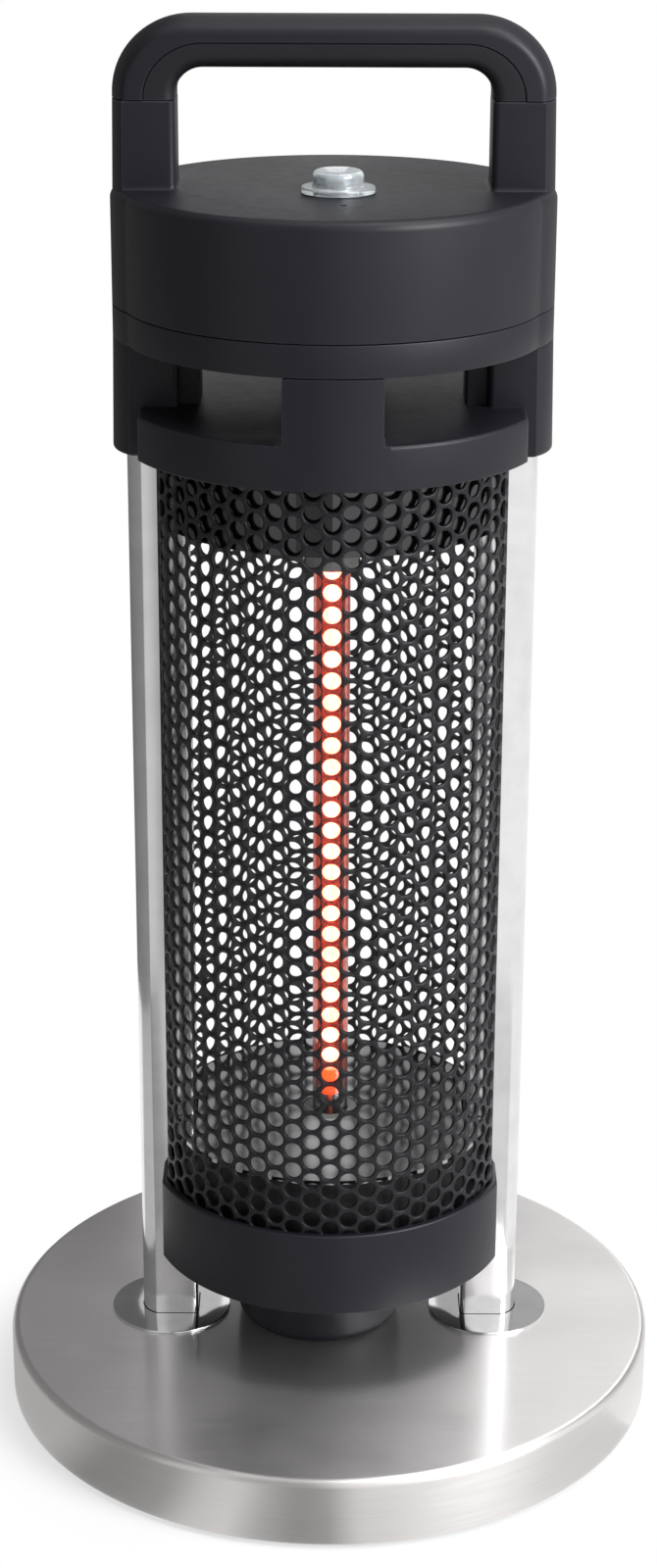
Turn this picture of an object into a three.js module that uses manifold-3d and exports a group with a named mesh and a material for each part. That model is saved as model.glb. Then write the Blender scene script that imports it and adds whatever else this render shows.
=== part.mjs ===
// Infrared patio heater: a round steel base, two oval uprights, a perforated
// guard round a vertical quartz lamp, and a black moulded head with a handle.
// Millimetres, +Z up. The floor is z = 0, the lamp's axis is x = y = 0, and the
// front is towards -Y.

import * as THREE from "three";
import { mergeVertices } from "three/addons/utils/BufferGeometryUtils.js";
import Module from "manifold-3d";

const wasm = await Module();
wasm.setup();

// Clearances shared by all pieces
const gap = 0.3; // between two fixed neighbours
const overrun = 1; // how far a cutting tool runs past a face
const slideFit = 0.2; // round a piece that slides

// Facets round a full turn, and along an arc
const turnSteps = { broad: 56, middle: 32, small: 16, tiny: 10, hexagon: 6 };
const arcSteps = { edge: 2, bulge: 6, corner: 2, bend: 8 };

// Perforated guard: a front and a rear half, each with returns to the uprights.
// Its radius sets the size of the ring, the head and everything between them.
const guard = { radius: 66, widthShare: 0.9333, sheet: 1.2, exposed: 283 };
const perforation = { columns: 10, rows: 14, pitch: 20.8, radius: 8.3 };
const guardHalf = guard.radius * guard.widthShare;

// Rubber feet under the base
const foot = { height: 2, radius: 10, bevel: 1, inset: 21, count: 4 };

// Pressed base cover of brushed steel
const base = { radius: 125, height: 26.5, wall: 1.2, edge: 3.5, wireHole: 9 };
const basePlate = { thickness: 1.5, boltAccess: 9 };
const baseBottom = foot.height;
const baseTop = baseBottom + base.height;
const baseInner = base.radius - base.wall;
const plateTop = baseBottom + basePlate.thickness;

// Cord inlet at the rear of the base
const gland = { hole: 6.5, flange: 9, nutDepth: 5, bore: 3.6 };
const glandPocket = { halfWidth: 11, depth: 17, headroom: 2 };
const wireGroove = { halfWidth: 5, depth: 9 };

// Tip-over switch under the front of the base
const tip = { y: -62, halfWidth: 11, halfDepth: 6, height: 14, pinRadius: 2.4 };
const tipPin = { length: 12, lift: 0.3, nose: 0.8, plateHole: 3.4 };
const tipPocket = { margin: 1.5, headroom: 2 };

// Uprights: tubes with a flat front, flat back and a bulged outer side
const upright = {
  recess: 10.1,
  width: 21.8,
  halfDepth: 8.5,
  bulge: 5.8,
  corner: 2,
  wall: 1.5,
  plug: 12,
  socketDepth: 31,
};
const uprightInner = guardHalf - upright.recess;
const uprightOuter = uprightInner + upright.width;
const uprightSection = { ...upright, inner: uprightInner, outer: uprightOuter };
const bolt = { radius: 3, headRadius: 6.5, headHeight: 4, well: 8, seat: 8.5, depth: 9 };
const boltX = (uprightInner + uprightOuter) / 2;
const uprightBottom = plateTop + bolt.seat;

// Round polished plates where the uprights meet the base
const escutcheon = { radius: 23.25, thickness: 1, bevel: 0.5 };

// Moulded boss between the base and the lower ring
const neck = { height: 35.5, topRadius: 33.5, footRadius: 31.5, edge: 5 };
const neckWall = 3;
const neckX = -4;
const ringBottom = baseTop + neck.height;

// Black lower ring, cut flat beside the uprights
const ring = { wall: 2.2, height: 32.5, floor: 3, edge: 1.2, wireHole: 12 };
const ringRadius = guard.radius + gap + ring.wall;
const ringHalf = guardHalf + ring.wall;
const ringTop = ringBottom + ring.height;
const ringFloor = ringBottom + ring.floor;
const ringCheek = 2; // wall between the ring's pocket and an upright

const guardBottom = ringFloor + gap;
const collarBottom = ringTop + guard.exposed;

// Head: collar, vent, band and cap
const head = { overhang: 8.5, wall: 2.5 };
const headRadius = guard.radius + head.overhang;
const collar = { overhang: 5.9, height: 15.5, floor: 4, edge: 1.5, wall: 3.7 };
const collarHalf = guardHalf + collar.overhang;
const vent = { height: 23, ribHalfWidth: 17, ribDepth: 12 };
const band = { height: 11.5, floor: 3 };
const cap = { height: 40, edge: 6, roof: 3, sideWall: 3 };
const wing = { radius: 43.5, overhang: 2.9 }; // round sides of the band and the cap
const ventBottom = collarBottom + collar.height;
const bandBottom = ventBottom + vent.height;
const capBottom = bandBottom + band.height;
const capTop = capBottom + cap.height;

// Ears beside the head, and the narrower posts above them that carry the handle.
// Both taper on the outer side as they rise.
const ear = { innerStep: 2.5, outerWall: 4.8, halfDepth: 15.5, bulge: 6.6, corner: 2.5, drop: 2.5 };
const post = { halfDepth: 12, bulge: 4.4, corner: 2.5, taper: 2 };
const earInner = uprightInner + ear.innerStep;
const earOuter = uprightOuter + ear.outerWall;
const earSection = { ...ear, inner: earInner, outer: earOuter };
const postSection = { ...post, inner: earInner, outer: earOuter };
const pillar = { thickness: 7.5, halfDepth: 10, overlap: 6 };
const wireBore = 4.5;

// Handle: an outer shell over an inner grip
const handle = { postHeight: 30.5, rise: 27.6, shellSide: 11, blankDepth: 18 };
const shellCorner = { run: 27.5, rise: 26.3 };
const seamCorner = { run: 20.5, rise: 18.8 };
const gripCorner = { run: 9.5, rise: 9.1, lift: 1.4 };
const handleOuter = earOuter - post.taper;
const seamHalf = handleOuter - handle.shellSide;
const handleFoot = capTop + handle.postHeight;
const handleTop = handleFoot + handle.rise;

// Lamp: a quartz tube with a coiled element between two ceramic caps
const lamp = { radius: 6.7, wall: 1, bottomInset: 10, top: 344 };
const coil = { radius: 3.9, wire: 1.1, pitch: 8.8, bottom: 124, top: 336 };
const coilSteps = { perTurn: 8, lead: 3, sides: 5 };
const ceramic = { radius: 10.5, height: 20, bore: 7.1 };

// Mirror pan and black pod below the lamp
const pan = { margin: 4, thickness: 1.5, z: 114.5, lampHole: 11 };
const pod = { margin: 4.5, wall: 1.5 };

// Mirror shield and bracket above the lamp
const shield = { margin: 2.5, wall: 1, skirtBottom: 354 };
const bracket = { halfWidth: 11.5, halfDepth: 11, wall: 1.2, bottom: 340 };
const upperCeramic = { radius: 9.5, height: 24 };

// Power button under a clear boot on top of the cap
const button = { x: 1.5, y: -15, radius: 6, height: 4.2, stem: 3, travel: 1.8 };
const boot = { flange: 12.8, flangeHeight: 2, dome: 8.8, rise: 7.6, edge: 1.8, wall: 0.8 };
const switchBody = { radius: 8.5, height: 15, hole: 7.4, collarRadius: 7 };
const switchNut = { radius: 11.5, height: 3 };
const terminal = { placeShare: 0.55, halfWidth: 14, halfDepth: 8, height: 14, hole: 2.2 };
const terminalPoles = { count: 3, step: 8.5 };

// Finishes: [hex colour, roughness, metalness]
const finishes = {
  blackPlastic: [0x26262b, 0.55, 0],
  gripPlastic: [0x202024, 0.7, 0],
  brushedSteel: [0xc9c9cb, 0.34, 1],
  mirrorSteel: [0xdcdcde, 0.08, 1],
  satinSteel: [0xd4d4d6, 0.2, 1],
  blackSheet: [0x28282c, 0.5, 0.6],
  blackPaint: [0x161618, 0.6, 0.3],
  zincSteel: [0x9a9ca0, 0.4, 1],
  rubber: [0x1a1a1b, 0.9, 0],
  concrete: [0x8d8a84, 0.95, 0],
  quartz: [0xffb08a, 0.08, 0],
  glowingCoil: [0xff7a2e, 0.6, 0],
  ceramic: [0xe6e0d4, 0.7, 0],
  clearBoot: [0xdfe6ea, 0.15, 0],
  switchMetal: [0xb9bec4, 0.3, 0.8],
  terminalPlastic: [0xe8e4d8, 0.6, 0],
};

// Building blocks

function solid(geometry) {
  geometry.deleteAttribute("normal");
  geometry.deleteAttribute("uv");
  const merged = mergeVertices(geometry, 1e-4);
  return new wasm.Manifold(
    new wasm.Mesh({
      numProp: 3,
      vertProperties: merged.attributes.position.array,
      triVerts: new Uint32Array(merged.index.array),
    }),
  );
}

function mesh(name, body, finish) {
  const made = body.getMesh();
  const geometry = new THREE.BufferGeometry();
  const positions = new Float32Array(made.vertProperties);
  geometry.setAttribute("position", new THREE.BufferAttribute(positions, 3));
  geometry.setIndex(new THREE.BufferAttribute(new Uint32Array(made.triVerts), 1));
  geometry.computeVertexNormals();
  const [color, roughness, metalness] = finishes[finish];
  const material = new THREE.MeshStandardMaterial({ color, roughness, metalness });
  const result = new THREE.Mesh(geometry, material);
  result.name = name;
  return result;
}

// A profile of [radius, z] points turned round the Z axis
function lathe(profile, steps) {
  let area = 0;
  profile.forEach(([r, z], i) => {
    const [nextR, nextZ] = profile[(i + 1) % profile.length];
    area += r * nextZ - nextR * z;
  });
  const ordered = area < 0 ? [...profile].reverse() : profile;
  const points = ordered.map(([r, z]) => new THREE.Vector2(r, z));
  if (ordered[0][0] > 0) points.push(points[0].clone());
  return solid(new THREE.LatheGeometry(points, steps).rotateX(Math.PI / 2));
}

function cylinder(radius, bottom, top, steps) {
  const geometry = new THREE.CylinderGeometry(radius, radius, top - bottom, steps);
  return solid(geometry.rotateX(Math.PI / 2).translate(0, 0, (bottom + top) / 2));
}

function tube(outer, inner, bottom, top, steps) {
  return lathe([[inner, bottom], [outer, bottom], [outer, top], [inner, top]], steps);
}

function box(x0, x1, y0, y1, z0, z1) {
  const geometry = new THREE.BoxGeometry(x1 - x0, y1 - y0, z1 - z0);
  return solid(geometry.translate((x0 + x1) / 2, (y0 + y1) / 2, (z0 + z1) / 2));
}

function extruded(points, bottom, top) {
  const shape = new THREE.Shape(points.map(([x, y]) => new THREE.Vector2(x, y)));
  const options = { depth: top - bottom, bevelEnabled: false };
  return new THREE.ExtrudeGeometry(shape, options).translate(0, 0, bottom);
}

function prism(points, bottom, top) {
  return solid(extruded(points, bottom, top));
}

// Points on an ellipse's arc between two angles in degrees
function arc(cx, cy, rx, ry, from, to, steps) {
  return Array.from({ length: steps + 1 }, (_, i) => {
    const angle = THREE.MathUtils.degToRad(from + ((to - from) * i) / steps);
    return [cx + rx * Math.cos(angle), cy + ry * Math.sin(angle)];
  });
}

function round(cx, cy, radius, from, to, steps) {
  return arc(cx, cy, radius, radius, from, to, steps);
}

// The outline that uprights, ears and posts share, on the side given by its sign.
// Grow makes it larger all round.
function oval(side, { inner, outer, halfDepth, bulge, corner }, grow = 0) {
  const half = halfDepth + grow;
  const depth = bulge + grow;
  const radius = (half * half + depth * depth) / (2 * depth);
  const reach = THREE.MathUtils.radToDeg(Math.asin(half / radius));
  const left = inner - grow + corner;
  const outline = [
    ...round(outer + grow - radius, 0, radius, -reach, reach, arcSteps.bulge),
    ...round(left, half - corner, corner, 90, 180, arcSteps.corner),
    ...round(left, corner - half, corner, 180, 270, arcSteps.corner),
  ];
  return outline.map(([x, y]) => [side * x, y]);
}

const sides = [
  ["left", -1],
  ["right", 1],
];

function cutBoth(body, makeTool) {
  return sides.reduce((left, [, side]) => left.subtract(makeTool(side)), body);
}

function addBoth(body, makePiece) {
  return sides.reduce((sum, [, side]) => sum.add(makePiece(side)), body);
}

// The passage an upright needs, wider than the tube by the distance given
function uprightPassage(side, grow, bottom, top) {
  return prism(oval(side, uprightSection, grow), bottom, top);
}

// A stretch of an ear or a post, tapered on the outer side
function tapered(side, section, grow, bottom, top) {
  const geometry = extruded(oval(side, section, grow), bottom, top);
  const points = geometry.attributes.position;
  for (let i = 0; i < points.count; i += 1) {
    const across = (side * points.getX(i) - earInner) / (earOuter - earInner);
    const up = (points.getZ(i) - collarBottom) / (handleFoot - collarBottom);
    points.setX(i, points.getX(i) - side * post.taper * across * up);
  }
  return solid(geometry);
}

// The passage for an upright and for the ear round its upper end
function earPassage(side, grow, bottom, top) {
  return tapered(side, earSection, grow, bottom, top).add(
    uprightPassage(side, grow, bottom, top),
  );
}

// A round blank that fits inside the guard with a margin, smaller by an inset
function insideGuard(margin, bottom, top, inset = 0) {
  const radius = guard.radius - margin;
  const half = guardHalf - guard.sheet - gap - inset;
  const room = box(-half, half, -radius, radius, bottom, top);
  return cylinder(radius - inset, bottom, top, turnSteps.middle).intersect(room);
}

// Base

function makeFeet() {
  const profile = [
    [0, 0],
    [foot.radius - foot.bevel, 0],
    [foot.radius, foot.bevel],
    [foot.radius, foot.height],
    [0, foot.height],
  ];
  const names = ["rear_right", "rear_left", "front_left", "front_right"];
  const circle = base.radius - foot.inset;
  return names.map((name, i) => {
    const angle = (Math.PI * (2 * i + 1)) / foot.count;
    const at = [circle * Math.cos(angle), circle * Math.sin(angle), 0];
    return mesh("foot_" + name, lathe(profile, turnSteps.small).translate(at), "rubber");
  });
}

function makeBaseShell() {
  const under = baseTop - base.wall;
  const innerEdge = base.edge - base.wall;
  const profile = [
    [0, under],
    [baseInner - innerEdge, under],
    [baseInner, under - innerEdge],
    [baseInner, baseBottom],
    [base.radius, baseBottom],
    ...round(base.radius - base.edge, baseTop - base.edge, base.edge, 0, 90, arcSteps.edge),
    [0, baseTop],
  ];
  const cover = lathe(profile, turnSteps.broad);
  const wires = cylinder(base.wireHole, under - overrun, baseTop + overrun, turnSteps.small);
  const slotted = cutBoth(cover.subtract(wires.translate([neckX, 0, 0])), (side) =>
    uprightPassage(side, gap, under - overrun, baseTop + overrun),
  );
  return mesh("base_shell", slotted.subtract(glandTool(gland.hole)), "brushedSteel");
}

// A hole through the rear wall at the cord inlet's height
function glandTool(radius) {
  const z = (baseBottom + baseTop) / 2;
  const length = 2 * glandPocket.depth;
  const rod = cylinder(radius, -length / 2, length / 2, turnSteps.small);
  return rod.rotate([90, 0, 0]).translate([0, base.radius, z]);
}

function makeBallast() {
  const top = baseTop - base.wall - gap;
  const under = plateTop;
  const block = cylinder(baseInner - base.edge, under, top, turnSteps.middle);
  const wires = cylinder(base.wireHole, under - overrun, top + overrun, turnSteps.small);
  const rear = baseInner - glandPocket.depth;
  const pocket = box(
    -glandPocket.halfWidth,
    glandPocket.halfWidth,
    rear,
    base.radius,
    under - overrun,
    top - glandPocket.headroom,
  );
  const groove = box(
    -wireGroove.halfWidth,
    wireGroove.halfWidth,
    0,
    rear + overrun,
    under - overrun,
    under + wireGroove.depth,
  );
  const switchPocket = box(
    -tip.halfWidth - tipPocket.margin,
    tip.halfWidth + tipPocket.margin,
    tip.y - tip.halfDepth - tipPocket.margin,
    tip.y + tip.halfDepth + tipPocket.margin,
    under - overrun,
    under + tip.height + tipPocket.headroom,
  );
  const cut = block
    .subtract(wires.translate([neckX, 0, 0]))
    .subtract(pocket)
    .subtract(groove)
    .subtract(switchPocket);
  const seated = cutBoth(cut, (side) =>
    uprightPassage(side, gap, uprightBottom, top + overrun),
  );
  const shank = cylinder(bolt.radius + gap, under - overrun, uprightBottom + overrun, turnSteps.tiny);
  const wellTop = under + bolt.headHeight + 2 * gap;
  const well = cylinder(bolt.well, under - overrun, wellTop, turnSteps.tiny);
  const drilled = cutBoth(seated, (side) => shank.add(well).translate([side * boltX, 0, 0]));
  return mesh("base_ballast", drilled, "concrete");
}

function makeBasePlate() {
  const disc = cylinder(baseInner - gap, baseBottom, plateTop - gap, turnSteps.broad);
  const hole = cylinder(basePlate.boltAccess, 0, plateTop + overrun, turnSteps.small);
  const access = cutBoth(disc, (side) => hole.translate([side * boltX, 0, 0]));
  const pinHole = cylinder(tipPin.plateHole, 0, plateTop + overrun, turnSteps.tiny);
  return mesh("base_plate", access.subtract(pinHole.translate([0, tip.y, 0])), "zincSteel");
}

function makeGland() {
  const inside = baseInner - gap - gland.nutDepth;
  const profile = [
    [gland.bore, inside],
    [gland.flange, inside],
    [gland.flange, baseInner - 2 * gap],
    [gland.hole - gap, baseInner - 2 * gap],
    [gland.hole - gap, base.radius - 2 * gap],
    [gland.hole - 2 * gap, base.radius - gap],
    [gland.bore, base.radius - gap],
  ];
  const z = (baseBottom + baseTop) / 2;
  const bushing = lathe(profile, turnSteps.small).rotate([-90, 0, 0]).translate([0, 0, z]);
  return mesh("cord_inlet", bushing, "blackPlastic");
}

function makeTipSwitch() {
  const bottom = plateTop;
  const body = box(
    -tip.halfWidth,
    tip.halfWidth,
    tip.y - tip.halfDepth,
    tip.y + tip.halfDepth,
    bottom,
    bottom + tip.height,
  );
  const boreTop = tipPin.lift + tipPin.length + tipPocket.headroom;
  const bore = cylinder(tip.pinRadius + slideFit, 0, boreTop, turnSteps.tiny);
  return mesh("tip_switch_body", body.subtract(bore.translate([0, tip.y, 0])), "blackPlastic");
}

function makeTipPin() {
  const bottom = tipPin.lift;
  const top = bottom + tipPin.length;
  const profile = [
    [0, bottom],
    [tip.pinRadius - tipPin.nose, bottom],
    [tip.pinRadius, bottom + tipPin.nose],
    [tip.pinRadius, top],
    [0, top],
  ];
  return mesh("tip_switch_pin", lathe(profile, turnSteps.tiny).translate([0, tip.y, 0]), "switchMetal");
}

function makeEscutcheons() {
  const bottom = baseTop;
  const top = bottom + escutcheon.thickness;
  const profile = [
    [0, bottom],
    [escutcheon.radius, bottom],
    [escutcheon.radius, top - escutcheon.bevel],
    [escutcheon.radius - escutcheon.bevel, top],
    [0, top],
  ];
  return sides.map(([name, side]) => {
    const plate = lathe(profile, turnSteps.middle).translate([side * boltX, 0, 0]);
    const passage = uprightPassage(side, gap, bottom - overrun, top + overrun);
    return mesh("escutcheon_" + name, plate.subtract(passage), "mirrorSteel");
  });
}

// Uprights

function makeUprights() {
  const top = collarBottom + upright.socketDepth;
  return sides.map(([name, side]) => {
    const tubeBody = prism(oval(side, uprightSection), uprightBottom, top);
    const hollow = prism(
      oval(side, uprightSection, -upright.wall),
      uprightBottom + upright.plug,
      top + overrun,
    );
    const thread = cylinder(
      bolt.radius + gap,
      uprightBottom - overrun,
      uprightBottom + upright.plug + overrun,
      turnSteps.tiny,
    ).translate([side * boltX, 0, 0]);
    return mesh("upright_" + name, tubeBody.subtract(hollow).subtract(thread), "satinSteel");
  });
}

function makeUprightBolts() {
  const headBottom = plateTop + gap;
  const headTop = headBottom + bolt.headHeight;
  const tipTop = uprightBottom + bolt.depth;
  return sides.map(([name, side]) => {
    const hexagon = cylinder(bolt.headRadius, headBottom, headTop, turnSteps.hexagon);
    const shank = cylinder(bolt.radius, headTop - overrun, tipTop, turnSteps.tiny);
    const whole = hexagon.add(shank).translate([side * boltX, 0, 0]);
    return mesh("upright_bolt_" + name, whole, "zincSteel");
  });
}

// Neck and lower ring

function makeNeck() {
  const bottom = baseTop + gap;
  const profile = [
    [neck.footRadius - neckWall - neck.edge, bottom],
    ...round(neck.footRadius - neck.edge, bottom + neck.edge, neck.edge, -90, 0, arcSteps.edge),
    [neck.topRadius, ringBottom],
    [neck.footRadius - neckWall - neck.edge, ringBottom],
  ];
  return mesh("neck", lathe(profile, turnSteps.middle).translate([neckX, 0, 0]), "blackPlastic");
}

function makeRing() {
  const profile = [
    [0, ringBottom],
    [ringRadius, ringBottom],
    ...round(ringRadius - ring.edge, ringTop - ring.edge, ring.edge, 0, 90, arcSteps.edge),
    [0, ringTop],
  ];
  const clip = (half) =>
    box(-half, half, -ringRadius, ringRadius, ringBottom - overrun, ringTop + overrun);
  const disc = lathe(profile, turnSteps.broad).intersect(clip(ringHalf));
  const hollow = cylinder(guard.radius + gap, ringFloor, ringTop + overrun, turnSteps.broad);
  const cheeks = (side) =>
    uprightPassage(side, gap + ringCheek, ringBottom, ringTop + overrun);
  const pocket = cutBoth(hollow.intersect(clip(guardHalf + gap)), cheeks);
  const notched = cutBoth(disc.subtract(pocket), (side) =>
    uprightPassage(side, gap, ringBottom - overrun, ringTop + overrun),
  );
  const wires = cylinder(ring.wireHole, ringBottom - overrun, ringFloor + overrun, turnSteps.small);
  return mesh("ring_lower", notched.subtract(wires), "blackPlastic");
}

// Black pod and mirror pan under the lamp

function makePod() {
  const bottom = ringFloor + gap;
  const top = pan.z - gap;
  const clear = ringCheek + 2 * gap;
  const outer = cutBoth(insideGuard(pod.margin, bottom, top), (side) =>
    uprightPassage(side, clear, bottom - overrun, top + overrun),
  );
  const inner = insideGuard(pod.margin, bottom - overrun, top - pod.wall, pod.wall);
  const hollow = cutBoth(inner, (side) =>
    uprightPassage(side, clear + pod.wall, bottom - 2 * overrun, top + overrun),
  );
  const seat = cylinder(ceramic.radius + gap, top - 2 * pod.wall, top + overrun, turnSteps.small);
  return mesh("lamp_pod", outer.subtract(hollow).subtract(seat), "blackPaint");
}

function makePan() {
  const top = pan.z + pan.thickness;
  const disc = cutBoth(insideGuard(pan.margin, pan.z, top), (side) =>
    uprightPassage(side, 2 * gap, pan.z - overrun, top + overrun),
  );
  const hole = cylinder(pan.lampHole, pan.z - overrun, top + overrun, turnSteps.small);
  return mesh("reflector_lower", disc.subtract(hole), "mirrorSteel");
}

function makeLowerCeramic() {
  const top = pan.z + pan.thickness;
  const bottom = top - ceramic.height;
  const profile = [
    [0, bottom],
    [ceramic.radius, bottom],
    [ceramic.radius, top],
    [ceramic.bore, top],
    [ceramic.bore, top - lamp.bottomInset],
    [0, top - lamp.bottomInset],
  ];
  return mesh("lamp_cap_lower", lathe(profile, turnSteps.small), "ceramic");
}

// Lamp

const lampBottom = pan.z + pan.thickness - lamp.bottomInset + gap;

function makeQuartzTube() {
  const glass = tube(lamp.radius, lamp.radius - lamp.wall, lampBottom, lamp.top, turnSteps.small);
  return mesh("quartz_tube", glass, "quartz");
}

// The element runs up the axis, coils, and ends on the axis again
class ElementPath extends THREE.Curve {
  constructor() {
    super();
    this.turns = Math.round((coil.top - coil.bottom) / coil.pitch);
    this.coilSteps = this.turns * coilSteps.perTurn;
    this.steps = this.coilSteps + 2 * coilSteps.lead;
  }
  getPoint(t, target = new THREE.Vector3()) {
    const step = t * this.steps;
    const lead = coilSteps.lead;
    if (step < lead) {
      const share = step / lead;
      const z = THREE.MathUtils.lerp(lampBottom + gap, coil.bottom, share);
      return target.set(coil.radius * share * share, 0, z);
    }
    if (step > this.steps - lead) {
      const share = (this.steps - step) / lead;
      const z = THREE.MathUtils.lerp(lamp.top - gap, coil.top, share);
      return target.set(coil.radius * share * share, 0, z);
    }
    const share = (step - lead) / this.coilSteps;
    const angle = 2 * Math.PI * this.turns * share;
    const z = THREE.MathUtils.lerp(coil.bottom, coil.top, share);
    return target.set(coil.radius * Math.cos(angle), coil.radius * Math.sin(angle), z);
  }
  getPointAt(t, target) {
    return this.getPoint(t, target);
  }
  getTangentAt(t, target) {
    return this.getTangent(t, target);
  }
}

// The element's least gap to itself, measured between points over half a turn apart
function leastGap(path) {
  const points = path.getPoints(path.steps);
  const apart = coilSteps.perTurn / 2;
  let least = Infinity;
  points.forEach((point, i) => {
    const others = points.slice(i + 1 + apart);
    others.forEach((other) => (least = Math.min(least, point.distanceTo(other))));
  });
  return least - 2 * coil.wire;
}

function makeFilament() {
  const path = new ElementPath();
  console.log("lamp_element's least gap to itself:", leastGap(path).toFixed(2), "mm");
  const section = new THREE.Shape();
  for (let i = 0; i < coilSteps.sides; i++) {
    const angle = (2 * Math.PI * i) / coilSteps.sides;
    const at = [coil.wire * Math.cos(angle), coil.wire * Math.sin(angle)];
    if (i === 0) section.moveTo(...at);
    else section.lineTo(...at);
  }
  const options = { steps: path.steps, extrudePath: path, bevelEnabled: false };
  const swept = solid(new THREE.ExtrudeGeometry(section, options));
  return mesh("lamp_element", swept, "glowingCoil");
}

function makeUpperCeramic() {
  const top = lamp.top + upperCeramic.height / 2;
  const bottom = lamp.top - upperCeramic.height / 2 + bracket.wall;
  const profile = [
    [0, top],
    [upperCeramic.radius, top],
    [upperCeramic.radius, bottom],
    [ceramic.bore, bottom],
    [ceramic.bore, lamp.top + gap],
    [0, lamp.top + gap],
  ];
  return mesh("lamp_cap_upper", lathe(profile, turnSteps.small), "ceramic");
}

// Mirror shield and lamp bracket under the head

const shieldTop = ventBottom - collar.floor - gap;

function makeShield() {
  const under = shieldTop - shield.wall;
  const low = shield.skirtBottom;
  const outer = cutBoth(insideGuard(shield.margin, low, shieldTop), (side) =>
    earPassage(side, gap, low - overrun, shieldTop + overrun),
  );
  const inner = insideGuard(shield.margin, low - overrun, under, shield.wall);
  const hollow = cutBoth(inner, (side) =>
    earPassage(side, gap + shield.wall, low - 2 * overrun, shieldTop + overrun),
  );
  const wires = cylinder(wireBore, under - overrun, shieldTop + overrun, turnSteps.tiny);
  return mesh("reflector_upper", outer.subtract(hollow).subtract(wires), "mirrorSteel");
}

function makeBracket() {
  const top = shieldTop - shield.wall - gap;
  const { halfWidth, halfDepth, wall, bottom } = bracket;
  const block = box(-halfWidth, halfWidth, -halfDepth, halfDepth, bottom, top);
  const hollow = box(
    -halfWidth - overrun,
    halfWidth + overrun,
    wall - halfDepth,
    halfDepth - wall,
    bottom - overrun,
    top - wall,
  );
  const wires = cylinder(wireBore, top - 2 * wall, top + overrun, turnSteps.tiny);
  return mesh("lamp_bracket", block.subtract(hollow).subtract(wires), "blackPaint");
}

// Perforated guard

// The sheet's outline seen from above, front half: returns beside the uprights
// and a broad arc between them
const guardReach = THREE.MathUtils.radToDeg(Math.asin(guard.widthShare));

function guardOutline(inset) {
  const radius = guard.radius - inset;
  const half = guardHalf - inset;
  const back = -upright.halfDepth - gap + (inset > 0 ? overrun : 0);
  const bend = round(
    0,
    0,
    radius,
    guardReach - 90,
    -guardReach - 90,
    perforation.columns,
  );
  const facets = bend.map(([x, y]) => [THREE.MathUtils.clamp(x, -half, half), y]);
  return [[half, back], ...facets, [-half, back]];
}

function guardSheet() {
  const top = ventBottom - collar.floor - gap;
  const outer = prism(guardOutline(0), guardBottom, top);
  const inner = prism(guardOutline(guard.sheet), guardBottom - overrun, top + overrun);
  return outer.subtract(inner);
}

// Staggered holes between the ring and the collar
function guardHoles() {
  const middle = (ringTop + collarBottom) / 2;
  const clear = perforation.radius + guard.sheet;
  const reach = guard.radius + overrun;
  const rod = cylinder(perforation.radius, reach / 2, reach, turnSteps.hexagon).rotate([90, 0, 0]);
  const tools = [];
  for (let column = 0; column < perforation.columns; column++) {
    const across = column - (perforation.columns - 1) / 2;
    const angle = (across * 2 * guardReach) / perforation.columns;
    const raised = column % 2 ? perforation.pitch / 2 : 0;
    for (let row = 0; row < perforation.rows; row++) {
      const up = row - (perforation.rows - 1) / 2;
      const z = middle + up * perforation.pitch + raised - perforation.pitch / 4;
      if (z < ringTop + clear || z > collarBottom - clear) continue;
      tools.push(rod.rotate([0, 0, angle]).translate([0, 0, z]));
    }
  }
  return tools;
}

function makeGuards() {
  const sheet = guardHoles().reduce((left, tool) => left.subtract(tool), guardSheet());
  const clearOfRing = cutBoth(sheet, (side) =>
    uprightPassage(side, ringCheek + 2 * gap, ringBottom, ringTop + gap),
  );
  const front = cutBoth(clearOfRing, (side) =>
    earPassage(side, gap, collarBottom - ear.drop - gap, bandBottom),
  );
  const rear = front.rotate([0, 0, 180]);
  return [mesh("guard_front", front, "blackSheet"), mesh("guard_rear", rear, "blackSheet")];
}

// Head

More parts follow.
